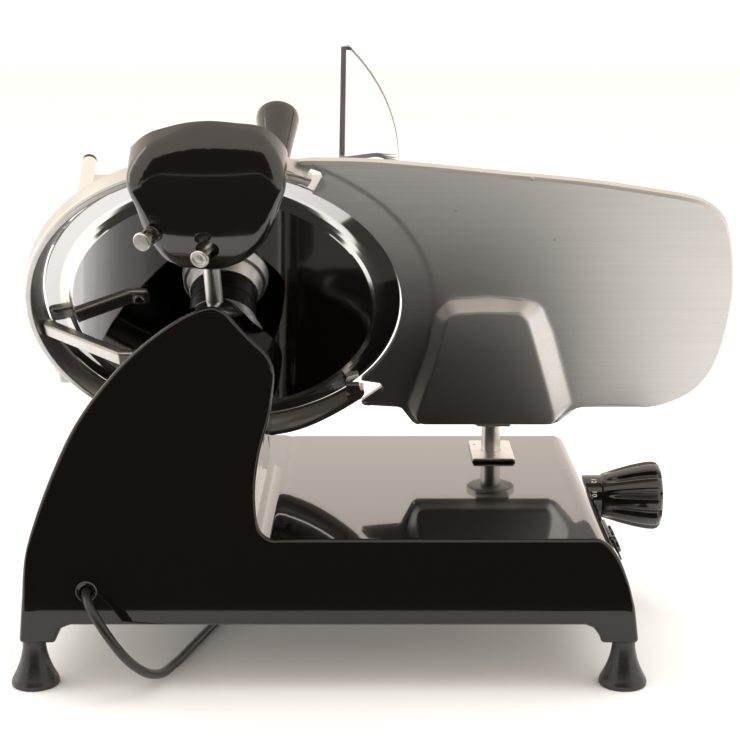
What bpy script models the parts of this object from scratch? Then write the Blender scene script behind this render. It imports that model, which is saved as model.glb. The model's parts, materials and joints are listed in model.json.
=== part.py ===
"""Electric meat slicer with a hand-pushed carriage: every piece as its own solid.

Frame: X to the right, Y away from the front of the machine, Z up, metres in the scene.
The sizes below are millimetres; MM turns them into metres where a mesh is made.
The blade stands in a tilted plane. Its own frame has u along X, v up the blade's face and
w along the blade's axis, towards the front; the carriage lies on the other side of it.
"""
import math

import bmesh
import bpy
from mathutils import Matrix, Vector

MM = 0.001
GAP = 0.3            # clearance between neighbours that touch or run on each other

# Base casting
BASE_DEPTH = 282.0   # front face to rear face
DECK_Z = 105.7
WALL = 4.0
EDGE = 2.5           # rounding of the casting's front and rear edges
RIM_Z = 46.5         # lower rim between the legs
LEG_Z = 34.0         # underside of the legs
LEG_DEPTH = 32.0
TOP_FALL = 0.082     # fall of the upright's top towards the back
FOOT_R = 16.0
FOOT_NECK_R = 7.5
FOOT_XS = (-225.0, 170.0)
FOOT_INSET = 16.0

# Blade frame
BLADE_C = (-103.3, 123.2, 242.9)
TILT = math.asin(0.6)
BLADE_R = 125.0
BLADE_BACK = 7.0     # the back flat lies this far in front of the cutting edge's plane
BLADE_DISH = 3.0
BACK_W = 40.0        # the upright's rear face, parallel to the blade
FLANGE_R = 26.0
FLANGE_T = 13.0
HOUSING_R = 30.0
BARREL_R = 24.0
BARREL_END = 90.0
SHAFT_R = 8.0
BEARING_R = 16.0
BEARING_T = 10.0
PULLEY_R = 25.0
PULLEY_T = 12.0
MOTOR_UV = (-45.0, -70.0)
MOTOR_R = 34.0
MOTOR_END = 88.0
MOTOR_PULLEY_R = 8.0
BELT_T = 1.6
SCREW_R = 2.5
SCREW_CIRCLE = 16.0

# Guard ring
RING_BORE = BLADE_R + 3.0
RING_FACE_R = RING_BORE + 4.5
RING_R = RING_FACE_R + 5.5
RING_T = 14.0
RING_END_T = 8.0
RING_FROM = 61.7     # degrees, counter-clockwise seen from the front
RING_TO = 313.5
STRUT_V = -18.5
STRUT_HALF = 6.0
COVER_R = BLADE_R - 13.0
COVER_T = 1.8

# Thickness gauge
GAUGE_T = 6.0
BULGE_W = 16.0
POST_X = 94.0
POST_Y = BASE_DEPTH - 58.0
POST_R = 7.5
BOSS_R = 18.5
BOSS_Z = 129.0
GAUGE_TRAVEL = 15.0
SLIDE_ROD_R = 5.0
SLIDE_ROD_Z = 66.0
COVER_PLATE_T = 3.0

# Knob and cam
KNOB_Y = POST_Y - 24.0
KNOB_Z = 78.5
KNOB_STEM_R = 15.8
KNOB_R = 26.0
CAM_R = 22.0
CAM_T = 6.0
CAM_X = 108.3
KNOB_TURN = 300.0    # degrees for the whole travel of the gauge

# Sharpener
SH_POST_R = 5.6
SH_POST_W = 56.0
SH_POST_U = 1.0
CAP_U = (-50.0, 52.0)
CAP_WALL = 2.5
PIN_R = 2.85
BUTTON_R = 6.0
WHEEL_R = 9.0
WHEEL_T = 6.0

# Carriage
TRAY_V = -93.0
TRAY_T = 3.0
TRAY_U = (-136.7, 87.3)
TRAY_S = (14.0, 235.0)
RAIL = 14.0
RAIL_Y = BASE_DEPTH + 14.0
RAIL_Z = 72.0
RAIL_X = (-215.0, 156.7)
ARM_X = -170.0
ARM_W = 30.0
ARM_T = 14.0
ROD_U = -119.9
ROD_V = -40.0
ROD_R = 5.6
ROD_S = (14.3, 191.0)
PLUG_R = 2.4         # stem of the cap in the rod's far end
BUSH_R = 9.0
BUSH_S = (90.0, 112.0)
PUSHER_T = 3.0
HANDLE_UV = (34.3, 38.0)
ACRYLIC = 4.0

# Mains lead
CORD_R = 3.15
GLAND_X = -186.0
GLAND_Z = 70.8
COIL_X, COIL_Y, COIL_MID_R = -40.0, 331.0, 35.0
LAYER_TURNS = 2.125
COIL_PITCH = 7.0
PLUG = (38.0, 34.0, 20.0)

for old in list(bpy.data.objects):
    bpy.data.objects.remove(old, do_unlink=True)

parts = bpy.data.collections.new("meat_slicer")
cutters = bpy.data.collections.new("cutters")
bpy.context.scene.collection.children.link(parts)
bpy.context.scene.collection.children.link(cutters)


def empty(name, at=(0, 0, 0), turn=(0, 0, 0), parent=None):
    e = bpy.data.objects.new(name, None)
    e.location = Vector(at) * MM
    e.rotation_euler = turn
    e.parent = parent
    e.empty_display_size = 0.03
    parts.objects.link(e)
    return e


def paint(name, colour, rough, metal=0.0, alpha=1.0):
    m = bpy.data.materials.new(name)
    m.use_nodes = True
    b = m.node_tree.nodes["Principled BSDF"]
    b.inputs["Base Color"].default_value = (*colour, 1.0)
    b.inputs["Roughness"].default_value = rough
    b.inputs["Metallic"].default_value = metal
    b.inputs["Alpha"].default_value = alpha
    m.diffuse_color = (*colour, 1.0)
    return m


BLACK = paint("black_paint", (0.020, 0.017, 0.016), 0.18)
PLASTIC = paint("black_plastic", (0.012, 0.012, 0.012), 0.22)
SATIN = paint("satin_aluminium", (0.66, 0.64, 0.61), 0.42, 1.0)
BRUSHED = paint("brushed_plate", (0.60, 0.56, 0.52), 0.36, 1.0)
MIRROR = paint("mirror_steel", (0.72, 0.72, 0.72), 0.07, 1.0)
CHROME = paint("chrome", (0.80, 0.80, 0.80), 0.08, 1.0)
STEEL = paint("steel", (0.48, 0.48, 0.49), 0.35, 1.0)
CLEAR = paint("clear_acrylic", (0.86, 0.92, 0.95), 0.05, 0.0, 0.3)
RUBBER = paint("rubber", (0.020, 0.020, 0.020), 0.55)
STONE = paint("grinding_stone", (0.42, 0.38, 0.36), 0.90)

root = empty("slicer_frame")
blade_frame = empty("blade_frame", BLADE_C, (math.pi / 2 + TILT, 0, 0), root)


def solid(name, mesh, parent, material=None, at=(0, 0, 0), turn=(0, 0, 0), keep=True):
    """An object from a mesh: a part with its material, or a cutter when keep is False."""
    o = bpy.data.objects.new(name, mesh)
    o.location = Vector(at) * MM
    o.rotation_euler = turn
    o.parent = parent
    if keep:
        mesh.materials.clear()
        mesh.materials.append(material)
        mesh.shade_smooth()
        mesh.set_sharp_from_angle(angle=math.radians(32))
        parts.objects.link(o)
    else:
        o.hide_render = True
        o.display_type = "WIRE"
        cutters.objects.link(o)
    return o


def axis_turn(d):
    """Euler angles that turn +Z onto the direction d."""
    return Vector((0, 0, 1)).rotation_difference(Vector(d)).to_euler()


def box(name, lo, hi, parent, material=None, keep=True):
    bm = bmesh.new()
    bmesh.ops.create_cube(bm, size=1.0)
    size = Vector(hi) - Vector(lo)
    bmesh.ops.scale(bm, vec=size * MM, verts=bm.verts)
    me = bpy.data.meshes.new(name)
    bm.to_mesh(me)
    bm.free()
    return solid(name, me, parent, material, (Vector(lo) + Vector(hi)) / 2, keep=keep)


def cylinder(name, r, z0, z1, parent, material=None, at=(0, 0, 0), axis=(0, 0, 1), seg=32,
             keep=True):
    """A cylinder along the axis from at + z0 to at + z1."""
    bm = bmesh.new()
    bmesh.ops.create_cone(bm, cap_ends=True, segments=seg, radius1=r * MM, radius2=r * MM,
                          depth=(z1 - z0) * MM)
    bmesh.ops.translate(bm, vec=(0, 0, (z0 + z1) / 2 * MM), verts=bm.verts)
    me = bpy.data.meshes.new(name)
    bm.to_mesh(me)
    bm.free()
    return solid(name, me, parent, material, at, axis_turn(axis), keep)


def evaluated(o):
    bpy.context.view_layer.update()
    return bpy.data.meshes.new_from_object(o.evaluated_get(bpy.context.evaluated_depsgraph_get()))


def turned(name, profile, parent, material=None, at=(0, 0, 0), axis=(0, 0, 1), steps=32,
           keep=True):
    """A turned solid: (radius, height) points that run down the outer side."""
    me = bpy.data.meshes.new(name + "_profile")
    n = len(profile)
    on_axis = profile[0][0] == 0 and profile[-1][0] == 0
    edges = [(i, i + 1) for i in range(n - 1)] + ([] if on_axis else [(n - 1, 0)])
    me.from_pydata([(r * MM, 0, z * MM) for r, z in profile], edges, [])
    o = bpy.data.objects.new(name + "_turning", me)
    cutters.objects.link(o)
    s = o.modifiers.new("Screw", "SCREW")
    s.angle = 2 * math.pi
    s.steps = s.render_steps = steps
    s.use_merge_vertices = True
    s.merge_threshold = 0.00001
    s.use_smooth_shade = True
    mesh = evaluated(o)
    bpy.data.objects.remove(o, do_unlink=True)
    mesh.name = name
    return solid(name, mesh, parent, material, at, axis_turn(axis), keep)


def plate(name, outline, lo, hi, parent, material=None, plane="UV", rim=0.0, holes=(),
          at=(0, 0, 0), turn=(0, 0, 0), keep=True, fine=1):
    """A flat outline with a thickness from lo to hi.

    plane UV: outline in the first two axes, thickness along the third;
    XZ: outline (x, z), thickness along y; YZ: outline (y, z), thickness along x.
    """
    cu = bpy.data.curves.new(name, "CURVE")
    cu.dimensions = "2D"
    cu.fill_mode = "BOTH"
    cu.extrude = ((hi - lo) / 2 - rim) * MM
    cu.bevel_depth = rim * MM
    cu.offset = -rim * MM
    cu.bevel_resolution = fine
    for loop in (outline, *holes):
        sp = cu.splines.new("POLY")
        sp.points.add(len(loop) - 1)
        for p, (a, b) in zip(sp.points, loop):
            p.co = (a * MM, b * MM, 0, 1)
        sp.use_cyclic_u = True
    o = bpy.data.objects.new(name + "_outline", cu)
    cutters.objects.link(o)
    me = evaluated(o)
    bpy.data.objects.remove(o, do_unlink=True)
    bm = bmesh.new()
    bm.from_mesh(me)
    bmesh.ops.remove_doubles(bm, verts=bm.verts, dist=0.00001)
    bmesh.ops.translate(bm, vec=(0, 0, (lo + hi) / 2 * MM), verts=bm.verts)
    if plane == "XZ":
        bmesh.ops.transform(bm, matrix=Matrix(((1, 0, 0, 0), (0, 0, -1, 0), (0, 1, 0, 0),
                                               (0, 0, 0, 1))), verts=bm.verts)
        bmesh.ops.translate(bm, vec=(0, (lo + hi) * MM, 0), verts=bm.verts)
    if plane == "YZ":
        bmesh.ops.transform(bm, matrix=Matrix(((0, 0, 1, 0), (1, 0, 0, 0), (0, 1, 0, 0),
                                               (0, 0, 0, 1))), verts=bm.verts)
    bmesh.ops.recalc_face_normals(bm, faces=bm.faces)
    bm.to_mesh(me)
    bm.free()
    me.name = name
    return solid(name, me, parent, material, at, turn, keep)


def tube(name, points, r, parent, material=None, sides=2):
    cu = bpy.data.curves.new(name, "CURVE")
    cu.dimensions = "3D"
    cu.bevel_depth = r * MM
    cu.bevel_resolution = sides
    cu.use_fill_caps = True
    sp = cu.splines.new("POLY")
    sp.points.add(len(points) - 1)
    for p, q in zip(sp.points, points):
        p.co = (q[0] * MM, q[1] * MM, q[2] * MM, 1)
    o = bpy.data.objects.new(name + "_route", cu)
    cutters.objects.link(o)
    me = evaluated(o)
    bpy.data.objects.remove(o, do_unlink=True)
    bm = bmesh.new()
    bm.from_mesh(me)
    bmesh.ops.remove_doubles(bm, verts=bm.verts, dist=0.00001)
    bmesh.ops.recalc_face_normals(bm, faces=bm.faces)
    bm.to_mesh(me)
    bm.free()
    me.name = name
    return solid(name, me, parent, material, keep=material is not None)


def boolean(target, other, operation="DIFFERENCE"):
    m = target.modifiers.new(operation.title(), "BOOLEAN")
    m.operation = operation
    m.solver = "EXACT"
    m.object = other
    return target


def bevel(o, width, segments=2, angle=35):
    m = o.modifiers.new("Bevel", "BEVEL")
    m.width = width * MM
    m.segments = segments
    m.limit_method = "ANGLE"
    m.angle_limit = math.radians(angle)
    return o


def inset(loop, d):
    """The outline moved inwards by d, corner by corner (loop runs clockwise)."""
    out = []
    n = len(loop)
    for i in range(n):
        a, b, c = Vector(loop[i - 1]), Vector(loop[i]), Vector(loop[(i + 1) % n])
        e1, e2 = (b - a).normalized(), (c - b).normalized()
        n1, n2 = Vector((e1.y, -e1.x)), Vector((e2.y, -e2.x))
        m = (n1 + n2).normalized()
        p = b + m * d / max(0.5, m.dot(n1))
        out.append((p.x, p.y))
    return out


def arc(cx, cy, r, a0, a1, n):
    return [(cx + r * math.cos(math.radians(a0 + (a1 - a0) * i / n)),
             cy + r * math.sin(math.radians(a0 + (a1 - a0) * i / n))) for i in range(n + 1)]


def move_points(o, rule):
    for v in o.data.vertices:
        v.co = Vector(rule(v.co / MM)) * MM


# The base casting: legs, deck and upright in one hollow shell
SHELL = [(-229.9, 60.4), (-226.0, 95.5), (-217.3, 123.3), (-206.4, 150.6), (-190.3, 182.9),
         (-171.5, 209.8), (-151.2, 233.0), (-131.5, 247.9), (-118.2, 255.3), (-109.0, 258.6),
         (-100.1, 259.8), (-91.3, 257.4), (-84.4, 252.6), (-73.1, 241.6), (-66.5, 231.4),
         (-63.4, 221.6), (-63.7, 208.1), (-65.5, 191.4), (-72.6, 160.9), (-74.7, 130.1),
         (-73.1, 116.2), (-70.2, 109.4), (-65.2, DECK_Z), (149.8, DECK_Z), (156.8, 101.6),
         (161.3, 96.1), (169.7, 77.3), (174.9, 58.3)]
FEET_LINE = [(177.9, LEG_Z), (153.3, LEG_Z), (151.6, 39.1), (147.7, 44.4), (142.4, RIM_Z),
             (-197.8, RIM_Z), (-204.4, 44.0), (-208.8, LEG_Z), (-232.3, LEG_Z)]


def top_fall(p):
    k = min(1.0, max(0.0, (p.z - 150.0) / 74.0))
    return (p.x, p.y, p.z - TOP_FALL * p.y * k)


def behind(z, w):
    """Y of the plane parallel to the blade at the distance w, at the height z."""
    return BLADE_C[1] - w * (math.cos(TILT) + math.tan(TILT) * math.sin(TILT)) \
        - (z - BLADE_C[2]) * math.tan(TILT)


base = plate("base_casting", SHELL + FEET_LINE, 0.0, BASE_DEPTH, root, BLACK, "XZ", rim=EDGE)
move_points(base, top_fall)
back_cut = plate("cut_behind_upright", [(behind(DECK_Z, BACK_W), DECK_Z),
                                        (behind(320, BACK_W), 320), (400, 320), (400, DECK_Z)],
                 -300, 300, root, plane="YZ", keep=False)
boolean(base, back_cut)
cavity = plate("cut_cavity", inset(SHELL + [(174.9, 50.0), (-230.5, 50.0)], WALL), WALL,
               BASE_DEPTH - WALL, root, plane="XZ", keep=False)
move_points(cavity, top_fall)
floor_of_deck = DECK_Z - WALL
inner_w = BACK_W + WALL
boolean(cavity, plate("cut_cavity_back", [(behind(floor_of_deck, inner_w), floor_of_deck),
                                          (behind(320, inner_w), 320), (400, 320),
                                          (400, floor_of_deck)],
                      -300, 300, root, plane="YZ", keep=False))
boolean(cavity, box("keep_legs_solid", (-300, -10, 0), (300, 400, 62), root, keep=False))
boolean(base, cavity)
boolean(base, box("cut_underneath", (-205, WALL, 10), (149, BASE_DEPTH - WALL, 70), root,
                  keep=False))
for n, x0, x1 in (("left", -300, -200.5), ("right", 148.0, 300)):
    boolean(base, box("cut_arch_" + n, (x0, LEG_DEPTH, 10), (x1, BASE_DEPTH - LEG_DEPTH - 2, 52),
                      root, keep=False))
RAIL_HALF = RAIL / 2
for n, x0, x1 in (("left", RAIL_X[0] - GAP - 10, RAIL_X[0] - GAP),
                  ("right", RAIL_X[1] + GAP, RAIL_X[1] + GAP + 8)):
    lug = box("lug_" + n, (x0, BASE_DEPTH - 3, RAIL_Z - 13),
              (x1, RAIL_Y + RAIL_HALF + 3, RAIL_Z + 13), root, keep=False)
    boolean(base, lug, "UNION")
ROD_LUGS = (POST_Y - 74.0, POST_Y + 42.0)
for n, y0, y1 in (("front", ROD_LUGS[0] - 10, ROD_LUGS[0]), ("rear", ROD_LUGS[1],
                                                            BASE_DEPTH - WALL + 1)):
    lug = box("rod_lug_" + n, (POST_X - 10, y0, SLIDE_ROD_Z - 9),
              (POST_X + 10, y1, DECK_Z - WALL + 1.5), root, keep=False)
    boolean(base, lug, "UNION")
guide = cylinder("post_guide", 12.2, 30, 46, blade_frame, at=(SH_POST_U, 0, SH_POST_W),
                 axis=(0, 1, 0), keep=False)
boolean(base, guide, "UNION")
boolean(base, cylinder("cut_post", SH_POST_R + GAP, 20, 90, blade_frame,
                       at=(SH_POST_U, 0, SH_POST_W), axis=(0, 1, 0), keep=False))
boolean(base, cylinder("cut_barrel", BARREL_R + GAP, 30, 60, blade_frame, seg=48, keep=False))
boolean(base, cylinder("cut_knob", KNOB_STEM_R + GAP, 0, 50, root, at=(148, KNOB_Y, KNOB_Z),
                       axis=(1, 0, 0), seg=40, keep=False))
boolean(base, cylinder("cut_gland", CORD_R + 2.85, -6, 12, root, at=(GLAND_X, 0, GLAND_Z),
                       axis=(0, 1, 0), keep=False))
boolean(base, box("cut_slot", (POST_X - POST_R - 1, POST_Y - POST_R - GAUGE_TRAVEL - 0.5, 98),
                  (POST_X + POST_R + 1, POST_Y + POST_R + 2.5, 112), root, keep=False))
for fx in FOOT_XS:
    for fy in (FOOT_INSET, BASE_DEPTH - FOOT_INSET):
        boolean(base, cylinder("cut_foot_stud", 3 + GAP, 20, 50, root, at=(fx, fy, 0), seg=16,
                               keep=False))
boolean(base, cylinder("cut_strut_screw", 2 + GAP, 30, 60, blade_frame,
                       at=(-63.5, STRUT_V, 0), seg=16, keep=False))

box("bottom_plate", (-205 + GAP, WALL + GAP, 53), (149 - GAP, BASE_DEPTH - WALL - GAP, 54.5),
    root, STEEL)

for fx, side in zip(FOOT_XS, ("left", "right")):
    for fy, end in ((FOOT_INSET, "front"), (BASE_DEPTH - FOOT_INSET, "rear")):
        top = LEG_Z - GAP
        turned("foot_%s_%s" % (end, side),
               [(0, LEG_Z + 14), (3, LEG_Z + 14), (3, top), (FOOT_NECK_R, top),
                (FOOT_NECK_R, 27), (9.6, 18), (13.4, 8.5), (FOOT_R, 3.6), (FOOT_R, 0), (0, 0)],
               root, RUBBER, at=(fx, fy, 0), steps=20)

# The switch on the right end wall, in its own frame square to the sloping wall
switch_frame = empty("switch_frame", (165.5, 60.0, 86.7), (0, math.atan2(0.913, 0.408), 0), root)
SWITCH_YS = (-12.0, 12.0)
BUTTON_PRESS = 3.0
plate("switch_plate", [(-9, -23), (9, -23), (9, 23), (-9, 23)], GAP, GAP + 1.8, switch_frame,
      PLASTIC, holes=[arc(0, y, 6.3, 0, 342, 19) for y in SWITCH_YS])
for y in SWITCH_YS:
    boolean(base, cylinder("cut_switch", 6.3, -12, 12, switch_frame, at=(0, y, 0), seg=24,
                           keep=False))
for y, n in zip(SWITCH_YS, ("start_button", "stop_button")):
    turned(n, [(0, 4.4), (5.0, 4.4), (6.0, 3.8), (6.0, -6.0), (7.5, -6.0), (7.5, -7.5),
               (0, -7.5)], switch_frame, PLASTIC, at=(0, y, 0), steps=18)
switch_body = box("switch_body", (-8, -22, -22), (8, 22, -7.5 - BUTTON_PRESS - GAP),
                  switch_frame, PLASTIC)
boolean(switch_body, box("switch_web", (-8, -4, -15), (8, 4, -WALL - GAP), switch_frame,
                         keep=False), "UNION")

# Drive: motor, belt, spindle and its two bearings in the housing behind the blade
turned("motor", [(0, 70), (4.3, 70), (4.3, MOTOR_END), (MOTOR_R - 4, MOTOR_END),
                 (MOTOR_R, MOTOR_END - 4), (MOTOR_R, inner_w + GAP), (0, inner_w + GAP)],
       blade_frame, STEEL, at=(*MOTOR_UV, 0), steps=28)
pulley_w = BARREL_END + 2
turned("motor_pulley", [(0, pulley_w + PULLEY_T), (MOTOR_PULLEY_R, pulley_w + PULLEY_T),
                        (MOTOR_PULLEY_R, pulley_w), (4, pulley_w), (4, 70 + GAP),
                        (0, 70 + GAP)], blade_frame, STEEL, at=(*MOTOR_UV, 0), steps=24)
lip = 9.0
front_w = BLADE_BACK + FLANGE_T + 2 * GAP
seat_w = front_w + 5.4
turned("bearing_housing", [(BEARING_R + GAP, BARREL_END), (BARREL_R, BARREL_END),
                           (BARREL_R, BACK_W - GAP), (HOUSING_R, BACK_W - GAP),
                           (HOUSING_R - 2.5, front_w), (lip, front_w), (lip, seat_w),
                           (BEARING_R + GAP, seat_w)], blade_frame, SATIN, steps=32)
for n, w in (("front_bearing", seat_w + GAP), ("rear_bearing", BARREL_END - 4 - BEARING_T)):
    turned(n, [(BEARING_R, w + BEARING_T), (BEARING_R, w), (SHAFT_R + GAP, w),
               (SHAFT_R + GAP, w + BEARING_T)], blade_frame, STEEL, steps=32)
cylinder("blade_shaft", SHAFT_R, BLADE_BACK + GAP, pulley_w + PULLEY_T + 4, blade_frame, STEEL)
turned("blade_pulley", [(PULLEY_R, pulley_w + PULLEY_T), (PULLEY_R, pulley_w),
                        (SHAFT_R + GAP, pulley_w), (SHAFT_R + GAP, pulley_w + PULLEY_T)],
       blade_frame, STEEL, steps=32)


def belt_loop(r1, r2):
    """The taut loop around the blade's pulley and the motor's pulley."""
    mu, mv = MOTOR_UV
    d = math.hypot(mu, mv)
    to_motor = math.degrees(math.atan2(mv, mu))
    half = math.degrees(math.acos((r1 - r2) / d))
    return arc(0, 0, r1, to_motor + half, to_motor + 360 - half, 24) \
        + arc(mu, mv, r2, to_motor - half, to_motor + half, 10)


plate("drive_belt", belt_loop(PULLEY_R + GAP + BELT_T, MOTOR_PULLEY_R + GAP + BELT_T),
      pulley_w + 2, pulley_w + PULLEY_T - 2, blade_frame, RUBBER,
      holes=[belt_loop(PULLEY_R + GAP, MOTOR_PULLEY_R + GAP)])

flange = turned("blade_flange", [(FLANGE_R - 1, BLADE_BACK + GAP + FLANGE_T),
                                 (FLANGE_R, BLADE_BACK + GAP + FLANGE_T - 1),
                                 (FLANGE_R, BLADE_BACK + GAP), (SHAFT_R + GAP, BLADE_BACK + GAP),
                                 (SHAFT_R + GAP, BLADE_BACK + GAP + FLANGE_T)],
                blade_frame, STEEL, steps=32)
blade = turned("blade", [(0, BLADE_BACK), (BLADE_R - 20, BLADE_BACK),
                         (BLADE_R - 11.6, BLADE_BACK - 2.4), (BLADE_R, 0.4), (BLADE_R, 0),
                         (BLADE_R - 7, 0), (BLADE_R - 17, BLADE_DISH), (0, BLADE_DISH)],
               blade_frame, MIRROR, steps=64)
for k in range(3):
    a = math.radians(90 + 120 * k)
    at = (SCREW_CIRCLE * math.cos(a), SCREW_CIRCLE * math.sin(a), 0)
    head = BLADE_DISH + 0.2

    def screw_shape(extra, long):
        r, h = SCREW_R + extra, SCREW_R + 2 + extra
        return [(0, long), (r, long), (r, head + 2.4), (h, head + 0.4), (h, head - extra * 10),
                (0, head - extra * 10)]
    turned("blade_screw_%d" % (k + 1), screw_shape(0, 17), blade_frame, STEEL, at=at, steps=16)
    for target in (blade, flange):
        boolean(target, turned("cut_blade_screw", screw_shape(GAP, 30), blade_frame, at=at,
                               steps=16, keep=False))

# Guard ring, its strut, its bracket and the cover over the blade's carriage side
ring = turned("guard_ring", [(RING_R - 1, RING_T), (RING_R, RING_T - 1), (RING_R, -0.2),
                             (RING_BORE, -0.2), (RING_BORE, 0.6), (RING_FACE_R, RING_T)],
              blade_frame, SATIN, steps=72)


def thin_ends(p):
    a = math.degrees(math.atan2(p.y, p.x)) % 360
    near = min(abs(a - RING_FROM), abs(a - RING_TO)) if RING_FROM < a < RING_TO else 0
    k = min(1.0, near / 26.0)
    k = k * k * (3 - 2 * k)
    top = RING_END_T + (RING_T - RING_END_T) * k
    return (p.x, p.y, p.z if p.z < 2 else p.z - (RING_T - top))


def loft(name, low, high, w0, w1, parent):
    """A solid between two outlines of the same number of points."""
    bm = bmesh.new()
    a = [bm.verts.new((u * MM, v * MM, w0 * MM)) for u, v in low]
    b = [bm.verts.new((u * MM, v * MM, w1 * MM)) for u, v in high]
    bm.faces.new(a[::-1])
    bm.faces.new(b)
    for i in range(len(a)):
        j = (i + 1) % len(a)
        bm.faces.new((a[i], a[j], b[j], b[i]))
    bmesh.ops.recalc_face_normals(bm, faces=bm.faces)
    me = bpy.data.meshes.new(name)
    bm.to_mesh(me)
    bm.free()
    return solid(name, me, parent, keep=False)


def around_bore(points):
    """Outline points from distances outside the ring's bore and angles in degrees."""
    return [((RING_BORE + out) * math.cos(math.radians(a)),
             (RING_BORE + out) * math.sin(math.radians(a))) for out, a in points]


move_points(ring, thin_ends)
wedge = [(0, 0)] + arc(0, 0, RING_R + 62, RING_TO - 360, RING_FROM, 6)
boolean(ring, plate("cut_ring_open", wedge, -20, 40, blade_frame, keep=False))
END_UPPER_FOOT = [(17.8, 72.4), (13.7, 61.05), (0.6, 61.0), (0.1, 69)]
END_UPPER_TOP = [(11.6, 70.3), (9.4, 64.0), (1.06, 64.8), (1.8, 68.5)]
END_LOWER = [(0.03, -48.1), (0.07, -44.3), (3.75, -41.6), (7.5, -42.8), (9.9, -45.6), (6.3, -49.1)]
LIP_LOWER = [(-9.8, -43.6), (-2.5, -40.5), (2.9, -42.5), (1.1, -45.8), (-4, -46.2)]
for n, low, high, w0, w1 in (("upper_end", END_UPPER_FOOT, END_UPPER_TOP, -0.2, 7.5),
                             ("lower_end", END_LOWER, END_LOWER, -0.2, RING_END_T),
                             ("lower_lip", LIP_LOWER, LIP_LOWER, 4.6, RING_END_T + 0.4)):
    boolean(ring, loft("ring_" + n, around_bore(low), around_bore(high), w0, w1, blade_frame),
            "UNION")


def ring_wall(w):
    """Distance u of the ring's sloping inner wall from the centre, at the strut's far side."""
    r = RING_BORE + (RING_FACE_R - RING_BORE) * (w - 0.6) / (RING_T - 0.6)
    return math.sqrt(r * r - (STRUT_V - STRUT_HALF) ** 2) - GAP - 0.2


strut = plate("ring_strut", [(-ring_wall(4.5), 4.5), (-ring_wall(10.5), 10.5),
                             (-(RING_BORE - 2.5), 12.5), (-72.0, BACK_W - GAP),
                             (-56.5, BACK_W - GAP), (-56.5, 34.2), (-68.0, 34.2),
                             (-(RING_BORE - 6.5), 6.2)],
              -STRUT_HALF, STRUT_HALF, blade_frame, SATIN, "XZ", rim=1.0, at=(0, STRUT_V, 0),
              fine=0)
boolean(strut, cylinder("cut_strut", 2 + GAP, 20, 60, blade_frame, at=(-63.5, STRUT_V, 0),
                        seg=16, keep=False))
turned("strut_screw", [(0, 52), (2, 52), (2, 34.2 - GAP), (4, 34.2 - GAP), (4, 32.2), (3.2, 31.4),
                       (0, 31.4)], blade_frame, CHROME, at=(-63.5, STRUT_V, 0), steps=20)
bevel(box("ring_bracket", (-14, -RING_R, RING_T + GAP), (14, -(RING_R - 8.5), BACK_W - GAP),
          blade_frame, SATIN), 1.0, 1)
tab_in = COVER_R - 2
cover = plate("blade_cover", arc(0, 0, COVER_R, 0, 352.5, 47), -0.5 - COVER_T, -0.5,
              blade_frame, BRUSHED)
for n, a in (("upper", 150.0), ("lower", 205.0)):
    t = box("cover_tab_" + n, (tab_in, -9, -0.5 - COVER_T + 0.05), (RING_R - 2, 9, -0.55),
            blade_frame, keep=False)
    t.rotation_euler = (0, 0, math.radians(a))
    t.location = Vector((math.cos(math.radians(a)), math.sin(math.radians(a)), 0)) \
        * (tab_in + RING_R - 2) / 2 * MM + Vector((0, 0, t.location.z))
    boolean(cover, t, "UNION")

# Slice deflector: a thin wall behind the blade that throws the slices clear
defl_u = 27.3
deflector = plate("slice_deflector", [(-123, 9.0), (-125, 14), (-123, BACK_W - GAP),
                                      (-62, BACK_W - GAP), (-52, 34), (-50, 28), (-58, 13),
                                      (-70, 9.0)], defl_u - 1.5, defl_u + 1.5, blade_frame,
                  PLASTIC, "YZ", rim=0.4)
boolean(deflector, cylinder("deflector_pin", 1.4, -131, -118, blade_frame,
                            at=(defl_u, 0, 30), axis=(0, 1, 0), seg=12, keep=False), "UNION")

# Thickness gauge: plate, the raised back of its mount, post, slot cover and slide block
GAUGE_ARC = RING_BORE + 1.2
gauge_outline = [(56.5, 134.5), (66.5, 135.4), (101, 134.5), (143.5, 130), (185.5, 124.4),
                 (252.5, 115.5), (293, 107.6), (311.5, 103.4), (322, 100), (330.5, 94.5),
                 (337, 88), (342, 80.4), (346.5, 68.3), (352.5, 43), (357, 13), (358, -18),
                 (356.5, -53), (352.4, -73.5), (347.9, -84.8), (340.8, -95.2), (330.5, -103.6),
                 (319.7, -108.5), (308.5, -110.7), (258.5, -110.9), (246, -127.8),
                 (240, -130.8), (140, -130.8), (136.8, -128.9), (127.4, -110.6),
                 (103, -108.2), (97.5, -108.8), (96.6, -105.6), (112.5, -88.5),
                 (110.5, -85.0)] \
    + arc(0, 0, GAUGE_ARC, -41.3, 58.6, 22) + [(72.2, 121.5), (71, 125)]
gauge = plate("gauge_plate", gauge_outline, 0, GAUGE_T, blade_frame, BRUSHED, rim=0.6, fine=0)
bulge_foot = [(138, -128.6), (243, -128.6), (256, -106), (247, -72), (235, -26), (225, 1),
              (216, 7), (186, 11), (158, 8), (148, -6), (144, -44), (129.5, -106)]
bulge_face = [(139.5, -117), (240.5, -117), (239.5, -107), (231, -72), (219, -26), (213, -3),
              (209, 3.8), (186, 4.6), (163, 3), (159, -1), (151.5, -44), (140, -106)]
boolean(gauge, loft("bulge", bulge_foot, bulge_face, GAUGE_T - 1.5, BULGE_W, blade_frame),
        "UNION")
boolean(gauge, box("boss_link", (POST_X - 13, POST_Y - 34, BOSS_Z + 1),
                   (POST_X + 13, POST_Y, 139), root, keep=False), "UNION")
boolean(gauge, cylinder("boss", BOSS_R, BOSS_Z, BOSS_Z + 9, root, at=(POST_X, POST_Y, 0),
                        seg=40, keep=False), "UNION")
slide_top = KNOB_Z + 6
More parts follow.
